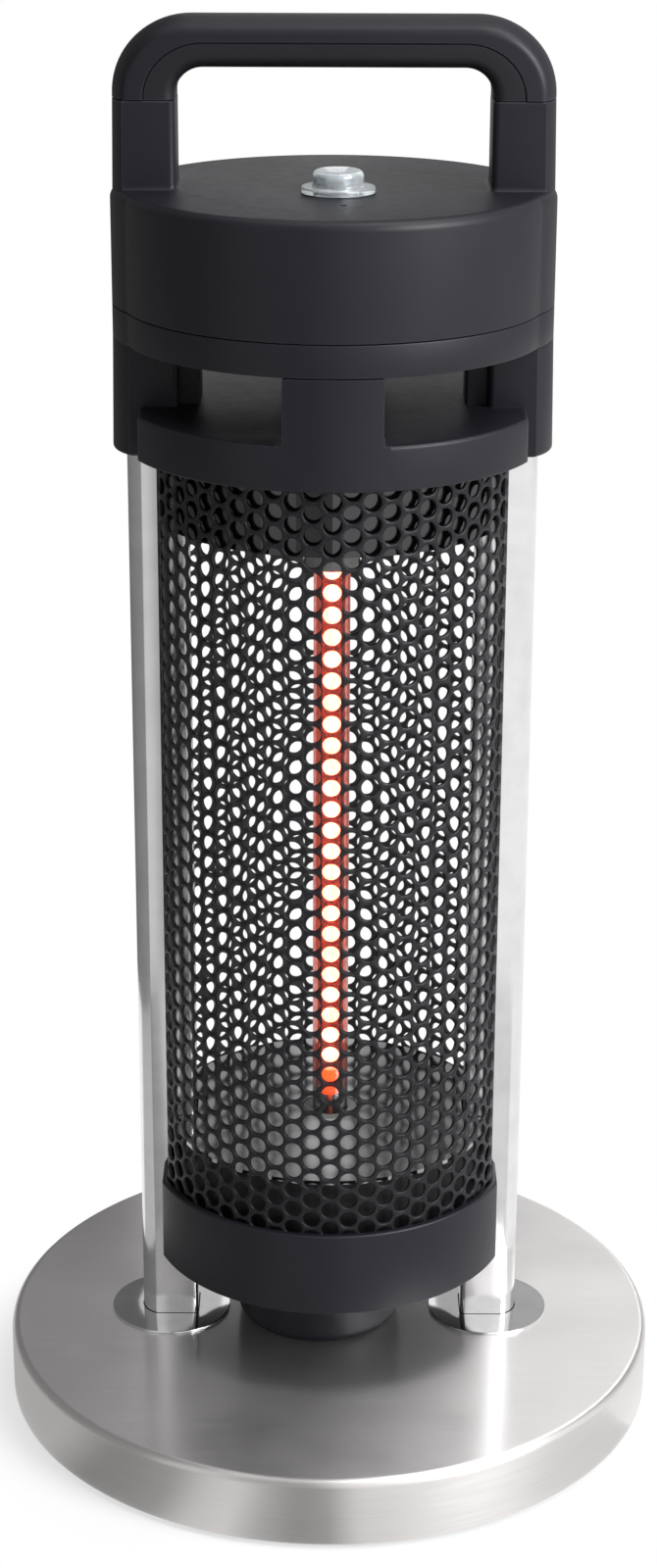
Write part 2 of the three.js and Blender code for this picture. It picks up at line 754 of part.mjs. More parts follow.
function makeHousing() {
  const profile = [
    [0, collarBottom],
    [headRadius, collarBottom],
    ...round(headRadius - collar.edge, ventBottom - collar.edge, collar.edge, 0, 90, arcSteps.edge),
    [0, ventBottom],
  ];
  const clip = box(
    -collarHalf,
    collarHalf,
    -headRadius,
    headRadius,
    collarBottom - overrun,
    bandBottom,
  );
  const disc = lathe(profile, turnSteps.broad);
  const ribSlab = box(
    -vent.ribHalfWidth,
    vent.ribHalfWidth,
    -headRadius,
    headRadius,
    ventBottom - overrun,
    bandBottom - gap,
  );
  const ribs = cylinder(headRadius, ventBottom - overrun, bandBottom - gap, turnSteps.broad)
    .intersect(ribSlab)
    .subtract(cylinder(headRadius - vent.ribDepth, collarBottom, bandBottom, turnSteps.middle));
  const collarWithRibs = disc.intersect(clip).add(ribs);
  const withEars = addBoth(collarWithRibs, (side) =>
    tapered(side, earSection, 0, collarBottom - ear.drop, bandBottom - gap).add(pillarBlock(side)),
  );
  const pocketRadius = headRadius - collar.wall;
  const pocketHalf = collarHalf - collar.wall;
  const floorUnder = ventBottom - collar.floor;
  const pocket = cylinder(pocketRadius, collarBottom - ear.drop - overrun, floorUnder, turnSteps.broad)
    .intersect(
      box(-pocketHalf, pocketHalf, -pocketRadius, pocketRadius, 0, floorUnder),
    );
  const earsKept = cutBoth(pocket, (side) =>
    tapered(side, earSection, 0, collarBottom - ear.drop - 2 * overrun, bandBottom),
  );
  const socketTop = collarBottom + upright.socketDepth + gap;
  const socketed = cutBoth(withEars.subtract(earsKept), (side) =>
    uprightPassage(side, gap, collarBottom - ear.drop - overrun, socketTop),
  );
  const bore = cylinder(wireBore, socketTop - overrun, bandBottom + overrun, turnSteps.tiny);
  const wired = cutBoth(socketed, (side) => bore.translate([side * boltX, 0, 0]));
  return mesh("head_housing", wired, "blackPlastic");
}

// The wall that closes the ear round the upright's inner side
function pillarBlock(side) {
  const near = side * (earInner - pillar.thickness);
  const far = side * (earInner + pillar.overlap);
  return box(
    Math.min(near, far),
    Math.max(near, far),
    -pillar.halfDepth,
    pillar.halfDepth,
    ventBottom - overrun,
    bandBottom - gap,
  );
}

// The head's drum with a round wing on each side, and a rounded top edge where asked
function wingedDrum(bottom, top, edge) {
  const profile = (radius) => [
    [0, bottom],
    [radius, bottom],
    ...(edge > 0 ? round(radius - edge, top - edge, edge, 0, 90, arcSteps.edge) : [[radius, top]]),
    [0, top],
  ];
  const x = headRadius + wing.overhang - wing.radius;
  const drum = lathe(profile(headRadius), turnSteps.broad);
  const wings = lathe(profile(wing.radius), turnSteps.broad);
  return addBoth(drum, (side) => wings.translate([side * x, 0, 0]));
}

function makeBand() {
  const top = capBottom - gap;
  const floor = bandBottom + band.floor;
  const outline = wingedDrum(bandBottom, top, 0);
  const tray = cavity(floor, top + overrun);
  const bore = cylinder(wireBore, bandBottom - overrun, top + overrun, turnSteps.tiny);
  const wired = cutBoth(outline.subtract(tray), (side) => bore.translate([side * boltX, 0, 0]));
  return mesh("head_band", wired, "blackPlastic");
}

// The room for the switch and the terminals, inside the cap and the band
function cavity(bottom, top) {
  const radius = headRadius - head.wall;
  const half = earInner - cap.sideWall;
  return cylinder(radius, bottom, top, turnSteps.middle).intersect(
    box(-half, half, -radius, radius, bottom, top),
  );
}

function makeCap() {
  const drum = wingedDrum(capBottom, capTop, cap.edge);
  const posted = addBoth(drum, (side) =>
    tapered(side, postSection, 0, capBottom, handleFoot - gap),
  );
  const hollow = posted.subtract(cavity(capBottom - overrun, capTop - cap.roof));
  const channel = box(
    -boltX,
    boltX,
    -wireBore,
    wireBore,
    capBottom - overrun,
    capBottom + wireBore,
  );
  const switchHole = cylinder(
    switchBody.hole,
    capTop - cap.roof - overrun,
    capTop + overrun,
    turnSteps.small,
  );
  const opened = hollow.subtract(channel).subtract(switchHole.translate([button.x, button.y, 0]));
  return mesh("head_cap", opened, "blackPlastic");
}

// Handle

// The upper outline of a bridge: straight legs, elliptical corners, flat top
function bridgePoints(half, top, { run, rise }) {
  const left = arc(run - half, top - rise, run, rise, 180, 90, arcSteps.bend);
  const right = arc(half - run, top - rise, run, rise, 90, 0, arcSteps.bend);
  return [...left, ...right];
}

function bridgePrism(upper, lower, bottom, halfDepth) {
  const legs = (points) => [
    [points[0][0], bottom],
    ...points,
    [points[points.length - 1][0], bottom],
  ];
  const outline = [...legs(upper), ...legs(lower).reverse()];
  const flat = prism(outline, -halfDepth, halfDepth);
  return flat.rotate([90, 0, 0]);
}

// A bulged bar bent along the handle's outer line, used to round the shell
function bulgedBar() {
  const half = handleOuter;
  const points = bridgePoints(half, handleTop, shellCorner);
  const full = [[-half, handleFoot - overrun], ...points, [half, handleFoot - overrun]];
  const spline = new THREE.CatmullRomCurve3(
    full.map(([x, z]) => new THREE.Vector3(x, 0, z)),
    false,
    "centripetal",
  );
  const { halfDepth, bulge } = post;
  const radius = (halfDepth * halfDepth + bulge * bulge) / (2 * bulge);
  const reach = THREE.MathUtils.radToDeg(Math.asin(halfDepth / radius));
  const outline = [
    ...round(0, radius, radius, -90 - reach, -90 + reach, arcSteps.bulge),
    [halfDepth, handle.blankDepth],
    [-halfDepth, handle.blankDepth],
  ];
  const shape = new THREE.Shape(outline.map(([x, y]) => new THREE.Vector2(x, y)));
  const options = { steps: 4 * arcSteps.bend, extrudePath: spline, bevelEnabled: false };
  return solid(new THREE.ExtrudeGeometry(shape, options));
}

function makeHandleShell() {
  const outer = bridgePoints(handleOuter, handleTop, shellCorner);
  const seamTop = handleFoot + seamCorner.rise;
  const inner = bridgePoints(seamHalf, seamTop, seamCorner);
  const blank = bridgePrism(outer, inner, handleFoot, post.halfDepth);
  return mesh("handle_shell", blank.intersect(bulgedBar()), "blackPlastic");
}

function makeHandleGrip() {
  const seamTop = handleFoot + seamCorner.rise - gap;
  const seam = { run: seamCorner.run - gap, rise: seamCorner.rise - gap };
  const outer = bridgePoints(seamHalf - gap, seamTop, seam);
  const gripTop = handleFoot + gripCorner.lift + gripCorner.rise;
  const inner = bridgePoints(earInner, gripTop, gripCorner);
  const grip = bridgePrism(outer, inner, handleFoot, post.halfDepth - gap);
  return mesh("handle_grip", grip, "gripPlastic");
}

// Power switch

function makeSwitch() {
  const at = [button.x, button.y, 0];
  const roof = capTop - cap.roof;
  const bodyTop = roof - gap;
  const bodyProfile = [
    [0, bodyTop - switchBody.height],
    [switchBody.radius, bodyTop - switchBody.height],
    [switchBody.radius, bodyTop],
    [switchBody.collarRadius, bodyTop],
    [switchBody.collarRadius, capTop],
    [button.stem + slideFit, capTop],
    [button.stem + slideFit, bodyTop - button.travel - button.stem],
    [0, bodyTop - button.travel - button.stem],
  ];
  const buttonBottom = capTop + button.travel + gap;
  const buttonProfile = [
    [0, bodyTop - button.stem + button.travel],
    [button.stem, bodyTop - button.stem + button.travel],
    [button.stem, buttonBottom],
    [button.radius, buttonBottom],
    [button.radius, buttonBottom + button.height - gap],
    [button.radius - gap, buttonBottom + button.height],
    [0, buttonBottom + button.height],
  ];
  const nutBottom = bodyTop - switchBody.height / 2;
  const nutTop = nutBottom + switchNut.height;
  const nutBore = cylinder(switchBody.radius + gap, nutBottom - overrun, capTop, turnSteps.small);
  const nut = cylinder(switchNut.radius, nutBottom, nutTop, turnSteps.hexagon).subtract(nutBore);
  return [
    mesh("switch_body", lathe(bodyProfile, turnSteps.small).translate(at), "blackPlastic"),
    mesh("switch_nut", nut.translate(at), "zincSteel"),
    mesh("power_button", lathe(buttonProfile, turnSteps.small).translate(at), "switchMetal"),
  ];
}

function makeBoot() {
  const bottom = capTop + gap;
  const flangeTop = bottom + boot.flangeHeight;
  const top = bottom + boot.rise;
  const profile = [
    [boot.dome - boot.wall, bottom],
    [boot.flange, bottom],
    [boot.flange, flangeTop - gap],
    [boot.flange - gap, flangeTop],
    [boot.dome, flangeTop],
    ...round(boot.dome - boot.edge, top - boot.edge, boot.edge, 0, 90, arcSteps.edge),
    [0, top],
    [0, top - boot.wall],
    [boot.dome - boot.edge, top - boot.wall],
    [boot.dome - boot.wall, top - boot.edge],
  ];
  const start = profile.findIndex(([r]) => r === 0);
  const ordered = [...profile.slice(start + 1), ...profile.slice(0, start + 1)];
  const dome = lathe(ordered, turnSteps.small).translate([button.x, button.y, 0]);
  return mesh("switch_boot", dome, "clearBoot");
}

// Terminal block in the head's tray

function makeTerminalBlock() {
  const bottom = bandBottom + band.floor;
  const top = bottom + terminal.height;
  const { halfWidth, halfDepth } = terminal;
  const x = (cap.sideWall - earInner) * terminal.placeShare;
  const block = box(x - halfWidth, x + halfWidth, -halfDepth, halfDepth, bottom, top);
  const poles = Array.from({ length: terminalPoles.count }, (_, i) => {
    const across = x + (i - (terminalPoles.count - 1) / 2) * terminalPoles.step;
    const middle = (bottom + top) / 2;
    const rod = cylinder(terminal.hole, -halfDepth - overrun, halfDepth + overrun, turnSteps.tiny);
    return rod.rotate([90, 0, 0]).translate([across, 0, middle]);
  });
  const drilled = poles.reduce((left, pole) => left.subtract(pole), block);
  return mesh("terminal_block", drilled, "terminalPlastic");
}

const heater = new THREE.Group();
heater.name = "infrared_heater";
heater.add(
  ...makeFeet(),
  makeBaseShell(),
  makeBallast(),
  makeBasePlate(),
  makeGland(),
  makeTipSwitch(),
  makeTipPin(),
  ...makeEscutcheons(),
  ...makeUprights(),
  ...makeUprightBolts(),
  makeNeck(),
  makeRing(),
  makePod(),
  makePan(),
  makeLowerCeramic(),
  makeQuartzTube(),
  makeFilament(),
  makeUpperCeramic(),
  makeShield(),
  makeBracket(),
  ...makeGuards(),
  makeHousing(),
  makeBand(),
  makeCap(),
  makeHandleShell(),
  makeHandleGrip(),
  ...makeSwitch(),
  makeBoot(),
  makeTerminalBlock(),
);

export default heater;
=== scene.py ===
# Looks of the infrared patio heater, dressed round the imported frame.
# Metres, +Z up, front towards -Y, the lamp's axis at x = y = 0.

import math

import bmesh
import bpy
import numpy as np
from mathutils import Matrix, Vector


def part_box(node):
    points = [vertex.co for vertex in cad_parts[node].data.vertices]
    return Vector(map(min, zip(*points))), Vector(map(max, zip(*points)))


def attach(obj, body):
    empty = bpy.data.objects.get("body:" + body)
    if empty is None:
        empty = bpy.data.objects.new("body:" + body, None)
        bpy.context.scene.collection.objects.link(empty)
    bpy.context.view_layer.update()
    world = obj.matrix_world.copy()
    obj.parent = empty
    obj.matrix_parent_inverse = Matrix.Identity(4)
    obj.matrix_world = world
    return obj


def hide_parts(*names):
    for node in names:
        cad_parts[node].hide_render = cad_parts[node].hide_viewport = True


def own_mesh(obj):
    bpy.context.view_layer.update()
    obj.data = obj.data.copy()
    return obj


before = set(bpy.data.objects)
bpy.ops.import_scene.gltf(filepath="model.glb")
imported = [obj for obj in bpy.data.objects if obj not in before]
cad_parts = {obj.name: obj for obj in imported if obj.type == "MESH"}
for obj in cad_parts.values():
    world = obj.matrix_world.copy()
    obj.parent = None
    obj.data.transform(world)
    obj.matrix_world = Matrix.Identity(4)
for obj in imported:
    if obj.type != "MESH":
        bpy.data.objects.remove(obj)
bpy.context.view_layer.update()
HEATER = "heater"

# Sizes that the frame gives

base_low, base_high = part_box("base_shell")
BASE_RADIUS, BASE_BOTTOM, BASE_TOP = base_high.x, base_low.z, base_high.z
upright_low, upright_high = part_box("upright_right")
UPRIGHT = {
    "inner": upright_low.x,
    "outer": upright_high.x,
    "half_depth": upright_high.y,
    "bulge": 0.0058,
    "corner": 0.002,
}
BOLT_X = (UPRIGHT["inner"] + UPRIGHT["outer"]) / 2
plate_low, plate_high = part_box("escutcheon_right")
neck_low, neck_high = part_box("neck")
NECK_X = (neck_low.x + neck_high.x) / 2
ring_low, ring_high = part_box("ring_lower")
guard_low, guard_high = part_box("guard_front")
housing_low, housing_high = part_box("head_housing")
band_low, band_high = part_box("head_band")
cap_low, cap_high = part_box("head_cap")
shell_low, shell_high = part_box("handle_shell")
grip_low, grip_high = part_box("handle_grip")
tube_low, tube_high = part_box("quartz_tube")
element_low, element_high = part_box("lamp_element")
boot_low, boot_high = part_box("switch_boot")
button_low, button_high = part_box("power_button")

EAR = {
    "inner": UPRIGHT["inner"] + 0.0025,
    "outer": UPRIGHT["outer"] + 0.0048,
    "half_depth": 0.0155,
    "bulge": 0.0066,
    "corner": 0.0025,
}
POST = {**EAR, "half_depth": shell_high.y, "bulge": 0.0044}
TAPER = EAR["outer"] - shell_high.x
WING_RADIUS = 0.0435
# Clearance between pieces, and how far a cutting tool reaches past a face
GAP = 0.0003
OVERRUN = 0.001
HEAD_RADIUS = cap_high.y
GUARD_RADIUS = -guard_low.y
GUARD_HALF = guard_high.x
RING_RADIUS = ring_high.y
RING_HALF = 0.0638
COLLAR_HALF = 0.0675
COLLAR_BOTTOM, COLLAR_TOP = 0.3795, 0.395
CAP_TOP = boot_low.z - GAP

# Facets of the fine surfaces
BASE_TURN, TURN, MIDDLE_TURN, SWITCH_TURN, SMALL_TURN = 256, 192, 144, 96, 72
ARC, FINE_ARC = 6, 10
BULGE_STEPS = 28

SIDES = (("left", -1), ("right", 1))


# Mesh building


def add_object(name, verts, faces):
    mesh = bpy.data.meshes.new(name)
    mesh.from_pydata([tuple(v) for v in verts], [], faces)
    obj = bpy.data.objects.new(name, mesh)
    bpy.context.scene.collection.objects.link(obj)
    return obj


def clean(obj):
    """Merges doubled points and turns the faces outwards."""
    merge = 1e-7
    work = bmesh.new()
    work.from_mesh(obj.data)
    bmesh.ops.remove_doubles(work, verts=work.verts, dist=merge)
    bmesh.ops.dissolve_degenerate(work, edges=work.edges, dist=merge)
    bmesh.ops.recalc_face_normals(work, faces=work.faces)
    work.to_mesh(obj.data)
    work.free()
    return obj


def smooth(obj, angle):
    for face in obj.data.polygons:
        face.use_smooth = True
    obj.data.set_sharp_from_angle(angle=math.radians(angle))


def loft(name, rings, closed=False):
    """Joins rings of equal count, with flat ends unless it closes on itself."""
    count = len(rings[0])
    verts = [point for ring in rings for point in ring]
    faces = []
    for i in range(len(rings) - (0 if closed else 1)):
        a, b = i * count, (i + 1) % len(rings) * count
        for j in range(count):
            k = (j + 1) % count
            faces.append((a + j, a + k, b + k, b + j))
    if not closed:
        faces.append(tuple(reversed(range(count))))
        faces.append(tuple(range(len(verts) - count, len(verts))))
    return clean(add_object(name, verts, faces))


def rounded(corners, steps=ARC):
    """The closed outline through (u, v, radius) corners, each rounded by an arc."""
    points = []
    for i, (u, v, radius) in enumerate(corners):
        here = Vector((u, v))
        if radius == 0:
            points.append((u, v))
            continue
        before = (Vector(corners[i - 1][:2]) - here).normalized()
        after = (Vector(corners[(i + 1) % len(corners)][:2]) - here).normalized()
        opening = before.angle(after)
        reach = radius / math.tan(opening / 2)
        centre = here + (before + after).normalized() * (radius / math.sin(opening / 2))
        start, end = here + before * reach - centre, here + after * reach - centre
        sweep = math.pi - opening
        for k in range(steps + 1):
            t = k / steps
            mix = start * math.sin((1 - t) * sweep) + end * math.sin(t * sweep)
            points.append(tuple(centre + mix / math.sin(sweep)))
    return points


def lathe(name, corners, centre=(0, 0), steps=TURN, arc=ARC):
    """Turns a closed profile of (radius, z, rounding) corners round a vertical axis."""
    profile = rounded(corners, arc)
    rings = []
    for r, z in profile:
        turn = [2 * math.pi * k / steps for k in range(steps)]
        rings.append([(centre[0] + r * math.cos(a), centre[1] + r * math.sin(a), z) for a in turn])
    return loft(name, rings, closed=True)


def stack(name, outline, levels):
    """A solid whose outline, drawn in by an inset, changes from level to level."""
    rings = [[(x, y, z) for x, y in outline(inset)] for z, inset in levels]
    return loft(name, rings)


def edge_levels(bottom, top, low_edge, high_edge, steps=ARC):
    """Levels and insets of a wall with its lower and upper edges rounded."""
    levels = []
    for k in range(steps + 1):
        a = math.pi / 2 * k / steps
        levels.append((bottom + low_edge * (1 - math.cos(a)), low_edge * (1 - math.sin(a))))
    for k in range(steps + 1):
        a = math.pi / 2 * k / steps
        levels.append((top - high_edge * (1 - math.sin(a)), high_edge * (1 - math.cos(a))))
    return levels


def arc_points(cx, cy, radius, start, end, steps):
    angles = [start + (end - start) * k / steps for k in range(steps + 1)]
    return [(cx + radius * math.cos(a), cy + radius * math.sin(a)) for a in angles]


def oval(side, size, inset=0.0):
    """Outline that uprights, ears and posts share: flat front and back, bulged outer side."""
    half, bulge = size["half_depth"] - inset, size["bulge"]
    corner = size["corner"]
    radius = (half * half + bulge * bulge) / (2 * bulge)
    reach = math.asin(half / radius)
    left = size["inner"] + inset + corner
    outline = arc_points(size["outer"] - inset - radius, 0, radius, -reach, reach, BULGE_STEPS)
    outline += arc_points(left, half - corner, corner, math.pi / 2, math.pi, ARC)
    outline += arc_points(left, corner - half, corner, math.pi, 1.5 * math.pi, ARC)
    points = [(side * x, y) for x, y in outline]
    return points if side > 0 else points[::-1]


def clipped_circle(radius, half, steps=TURN // 2):
    """A circle cut by two flats at x = -half and half."""

    def outline(inset):
        r, h = radius - inset, half - inset
        reach = math.acos(h / r)
        front = arc_points(0, 0, r, reach - math.pi, -reach, steps)
        rear = arc_points(0, 0, r, reach, math.pi - reach, steps)
        return front + rear

    return outline


def winged_drum(inset):
    """The head's circle joined with a smaller circle that stands out on each side."""
    r, wing = HEAD_RADIUS - inset, WING_RADIUS - inset
    centre = cap_high.x - WING_RADIUS
    x = (r * r - wing * wing + centre * centre) / (2 * centre)
    y = math.sqrt(r * r - x * x)
    on_drum, on_wing = math.atan2(y, x), math.atan2(y, x - centre)
    right = arc_points(centre, 0, wing, -on_wing, on_wing, 2 * BULGE_STEPS)
    rear = arc_points(0, 0, r, on_drum, math.pi - on_drum, TURN // 2)
    left = [(-px, -py) for px, py in right]
    front = [(-px, -py) for px, py in rear]
    return right[:-1] + rear[:-1] + left[:-1] + front[:-1]


def taper(obj):
    """Draws in the outer side of an ear or a post as it rises."""
    for vert in obj.data.vertices:
        side = math.copysign(1, vert.co.x)
        across = (side * vert.co.x - EAR["inner"]) / (EAR["outer"] - EAR["inner"])
        up = (vert.co.z - COLLAR_BOTTOM) / (shell_low.z - COLLAR_BOTTOM)
        vert.co.x -= side * TAPER * across * max(up, 0)
    return obj


def boolean(obj, tool, operation="DIFFERENCE"):
    """Cuts or joins with a tool, which is used up."""
    step = obj.modifiers.new("boolean", "BOOLEAN")
    step.operation = operation
    step.solver = "EXACT"
    step.object = tool
    graph = bpy.context.evaluated_depsgraph_get()
    result = bpy.data.meshes.new_from_object(obj.evaluated_get(graph))
    obj.modifiers.clear()
    obj.data = result
    bpy.data.objects.remove(tool)
    return obj


def prism(outline, bottom, top):
    rings = [[(x, y, z) for x, y in outline] for z in (bottom, top)]
    return loft("tool", rings)


def disc(radius, bottom, top, centre=(0, 0), steps=SMALL_TURN):
    circle = arc_points(0, 0, radius, 0, 2 * math.pi, steps)[:-1]
    return prism([(centre[0] + x, centre[1] + y) for x, y in circle], bottom, top)


def cut_uprights(obj, bottom, top):
    for _, side in SIDES:
        boolean(obj, prism(oval(side, UPRIGHT, -GAP), bottom, top))


def box_middle(low, high):
    """Middle of a box as seen from above."""
    return (low.x + high.x) / 2, (low.y + high.y) / 2


# Materials


class Nodes:
    """Short ways to add and join the nodes of a tree."""

    def __init__(self, tree):
        self.tree = tree

    def node(self, kind, **settings):
        made = self.tree.nodes.new(kind)
        for key, value in settings.items():
            setattr(made, key, value)
        return made

    def link(self, source, target):
        self.tree.links.new(source, target)

    def ranged(self, value, low, high, start=0.35, end=0.65, curve="LINEAR"):
        """Maps start..end to low..high. Noise lies mostly between the defaults."""
        made = self.node("ShaderNodeMapRange", interpolation_type=curve)
        made.inputs["From Min"].default_value = start
        made.inputs["From Max"].default_value = end
        made.inputs["To Min"].default_value = low
        made.inputs["To Max"].default_value = high
        self.link(value, made.inputs["Value"])
        return made.outputs["Result"]

    def combine(self, a, b, operation="MULTIPLY"):
        made = self.node("ShaderNodeMath", operation=operation)
        for source, target in zip((a, b), made.inputs):
            if isinstance(source, (int, float)):
                target.default_value = source
            else:
                self.link(source, target)
        return made.outputs[0]

    def seen(self):
        """1 for camera, glossy and transmission rays."""
        path = self.node("ShaderNodeLightPath").outputs
        glossy = self.combine(path["Is Camera Ray"], path["Is Glossy Ray"], "MAXIMUM")
        return self.combine(glossy, path["Is Transmission Ray"], "MAXIMUM")


class Finish(Nodes):
    """A procedural material on the piece's own coordinates."""

    def __init__(self, name, color, roughness, metallic=0.0):
        self.material = bpy.data.materials.new(name)
        self.material.use_nodes = True
        super().__init__(self.material.node_tree)
        self.shader = self.tree.nodes["Principled BSDF"]
        self.color = color
        self.set("Base Color", (*color, 1))
        self.set("Roughness", roughness)
        self.set("Metallic", metallic)
        self.place = self.node("ShaderNodeTexCoord").outputs["Object"]

    def set(self, socket, value):
        self.shader.inputs[socket].default_value = value

    def stretched(self, stretch):
        mapping = self.node("ShaderNodeMapping")
        mapping.inputs["Scale"].default_value = stretch
        self.link(self.place, mapping.inputs["Vector"])
        return mapping.outputs["Vector"]

    def noise(self, size, stretch=(1, 1, 1), detail=4.0):
        """Noise whose grains are about size metres, finer along axes of larger stretch."""
        made = self.node("ShaderNodeTexNoise")
        made.inputs["Scale"].default_value = 1 / size
        made.inputs["Detail"].default_value = detail
        self.link(self.stretched(stretch), made.inputs["Vector"])
        return made.outputs["Fac"]

    def blend(self, factor, first, second):
        made = self.node("ShaderNodeMix", data_type="RGBA")
        self.link(factor, made.inputs["Factor"])
        for source, target in ((first, made.inputs["A"]), (second, made.inputs["B"])):
            if isinstance(source, tuple):
                target.default_value = (*source, 1)
            else:
                self.link(source, target)
        return made.outputs["Result"]

    def paint(self, value):
        self.link(value, self.shader.inputs["Base Color"])

    def vary_color(self, value, low, high, start=0.35, end=0.65):
        """Colour between two multiples of the base colour."""
        dark, light = shades(self.color, low, high)
        self.paint(self.blend(self.ranged(value, 0, 1, start, end), dark, light))

    def vary_roughness(self, value, low, high, start=0.35, end=0.65):
        self.link(self.ranged(value, low, high, start, end), self.shader.inputs["Roughness"])

    def bump(self, value, height, strength):
        made = self.node("ShaderNodeBump")
        made.inputs["Distance"].default_value = height
        made.inputs["Strength"].default_value = strength
        self.link(value, made.inputs["Height"])
        self.link(made.outputs["Normal"], self.shader.inputs["Normal"])
        return self

    def edge_wear_and_highlight_mask(self, radius=0.0006):
        """A mask that is 1 on sharp edges and 0 on open faces, where edges are lightened as wear
        and as a painted highlight.
        """
        bevel = self.node("ShaderNodeBevel", samples=4)
        bevel.inputs["Radius"].default_value = radius
        true = self.node("ShaderNodeNewGeometry").outputs["Normal"]
        dot = self.node("ShaderNodeVectorMath", operation="DOT_PRODUCT")
        self.link(bevel.outputs["Normal"], dot.inputs[0])
        self.link(true, dot.inputs[1])
        return self.ranged(dot.outputs["Value"], 1, 0, 0.9, 0.995)

    def hot_length(self, low, high):
        """1 along the hot length, falling to 0 between the two heights given at each end."""
        height = self.node("ShaderNodeSeparateXYZ")
        self.link(self.place, height.inputs[0])
        rising = self.ranged(height.outputs["Z"], 0, 1, *low)
        falling = self.ranged(height.outputs["Z"], 1, 0, *high)
        return self.combine(rising, falling)


def shades(color, *shares):
    return [tuple(min(c * share, 1) for c in color) for share in shares]


def moulded_plastic(name, color, roughness):
    finish = Finish(name, color, roughness)
    grain = finish.noise(0.0007, detail=3)
    clouds = finish.noise(0.03, detail=5)
    scuffs = finish.noise(0.004, (1, 1, 0.15), detail=6)
    # Sharp edges are lightened: partly wear, partly a painted edge highlight.
    wear_and_highlight = finish.edge_wear_and_highlight_mask()
    dark, light, edge = shades(color, 0.86, 1.16, 5.5)
    base = finish.blend(finish.ranged(clouds, 0.2, 0.8, 0.3, 0.7), dark, light)
    finish.paint(finish.blend(finish.combine(wear_and_highlight, 0.5), base, edge))
    finish.vary_roughness(scuffs, roughness - 0.02, roughness + 0.03, 0.3, 0.7)
    finish.set("Specular IOR Level", 0.3)
    return finish.bump(grain, 0.00003, 0.25).material


def brushed_steel(name, stretch, color, roughness, highlight, pull):
    """Brush lines run along axes of small stretch. Pull draws glints out along highlight."""
    finish = Finish(name, color, roughness, 1.0)
    lines = finish.noise(0.0003, stretch, detail=3)
    clouds = finish.noise(0.05, detail=3)
    finish.vary_color(lines, 0.97, 1.03)
    mixed = finish.combine(finish.combine(lines, clouds, "ADD"), 0.5)
    finish.vary_roughness(mixed, roughness - 0.04, roughness + 0.04)
    finish.bump(lines, 0.00001, 0.15)
    finish.set("Anisotropic", pull)
    direction = finish.node("ShaderNodeCombineXYZ")
    direction.inputs["XYZ".index(highlight)].default_value = 1
    finish.link(direction.outputs[0], finish.shader.inputs["Tangent"])
    return finish.material


def polished_steel(name, color, roughness, along=None):
    finish = Finish(name, color, roughness, 1.0)
    stretch = (1, 1, 0.01) if along == "z" else (1, 1, 1)
    lines = finish.noise(0.0004, stretch, detail=4)
    haze = finish.noise(0.012, detail=5)
    finish.vary_color(haze, 0.95, 1.04)
    mixed = finish.combine(finish.combine(lines, haze, "ADD"), 0.5)
    finish.vary_roughness(mixed, roughness * 0.7, roughness * 1.4)
    return finish.bump(lines, 0.00001, 0.2).material


def coated_sheet(name, color, roughness, glare=0.0):
    """Black coated steel. Glare is the small share of a bright lamp that each face lets by."""
    finish = Finish(name, color, roughness)
    grain = finish.noise(0.0004, detail=3)
    clouds = finish.noise(0.02, detail=4)
    # Sharp edges and hole rims are lightened: partly wear, partly a painted highlight of the lit
    # rims.
    wear_and_highlight = finish.edge_wear_and_highlight_mask(0.0004)
    dark, light, edge = shades(color, 0.85, 1.2, 8)
    base = finish.blend(clouds, dark, light)
    finish.paint(finish.blend(finish.combine(wear_and_highlight, 0.6), base, edge))
    finish.vary_roughness(clouds, roughness - 0.06, roughness + 0.06)
    finish.set("Specular IOR Level", 0.35)
    finish.set("Alpha", 1 - glare)
    return finish.bump(grain, 0.00003, 0.3).material


def plain_grain(name, color, roughness, metallic=0.0, size=0.002, height=0.00006, spread=0.14):
    finish = Finish(name, color, roughness, metallic)
    grain = finish.noise(size, detail=5)
    finish.vary_color(grain, 1 - spread, 1 + spread)
    finish.vary_roughness(grain, roughness - 0.06, roughness + 0.06)
    return finish.bump(grain, height, 0.4).material


def clear_material(name, color, roughness, ior, clearness):
    finish = Finish(name, color, roughness)
    smears = finish.noise(0.004, detail=4)
    finish.vary_roughness(smears, roughness * 0.5, roughness * 1.6)
    finish.set("Transmission Weight", clearness)
    finish.set("IOR", ior)
    return finish.bump(smears, 0.00004, 0.15).material


# Ends of the lamp's hot length
GLOW_LOW, GLOW_HIGH = 0.123, 0.339
GLOW_STRENGTH = 50


def glow_material():
    """The element: hottest along its middle, fading to dull red at both ends."""
    finish = Finish("element_glow", (0.25, 0.09, 0.05), 0.6)
    low, high = (GLOW_LOW - 0.004, GLOW_LOW + 0.024), (GLOW_HIGH - 0.004, GLOW_HIGH + 0.004)
    flicker = finish.noise(0.003, detail=2)
    ramp = finish.node("ShaderNodeValToRGB")
    ramp.color_ramp.elements[0].color = (0.001, 0.0, 0.0, 1)
    ramp.color_ramp.elements[1].color = (1.0, 0.22, 0.125, 1)
    dull = ramp.color_ramp.elements.new(0.5)
    dull.color = (0.1, 0.006, 0.001, 1)
    finish.link(finish.hot_length(low, high), ramp.inputs["Fac"])
    finish.link(ramp.outputs["Color"], finish.shader.inputs["Emission Color"])
    strength = finish.ranged(flicker, 0.85 * GLOW_STRENGTH, 1.15 * GLOW_STRENGTH, 0.3, 0.7)
    finish.link(strength, finish.shader.inputs["Emission Strength"])
    return finish.material


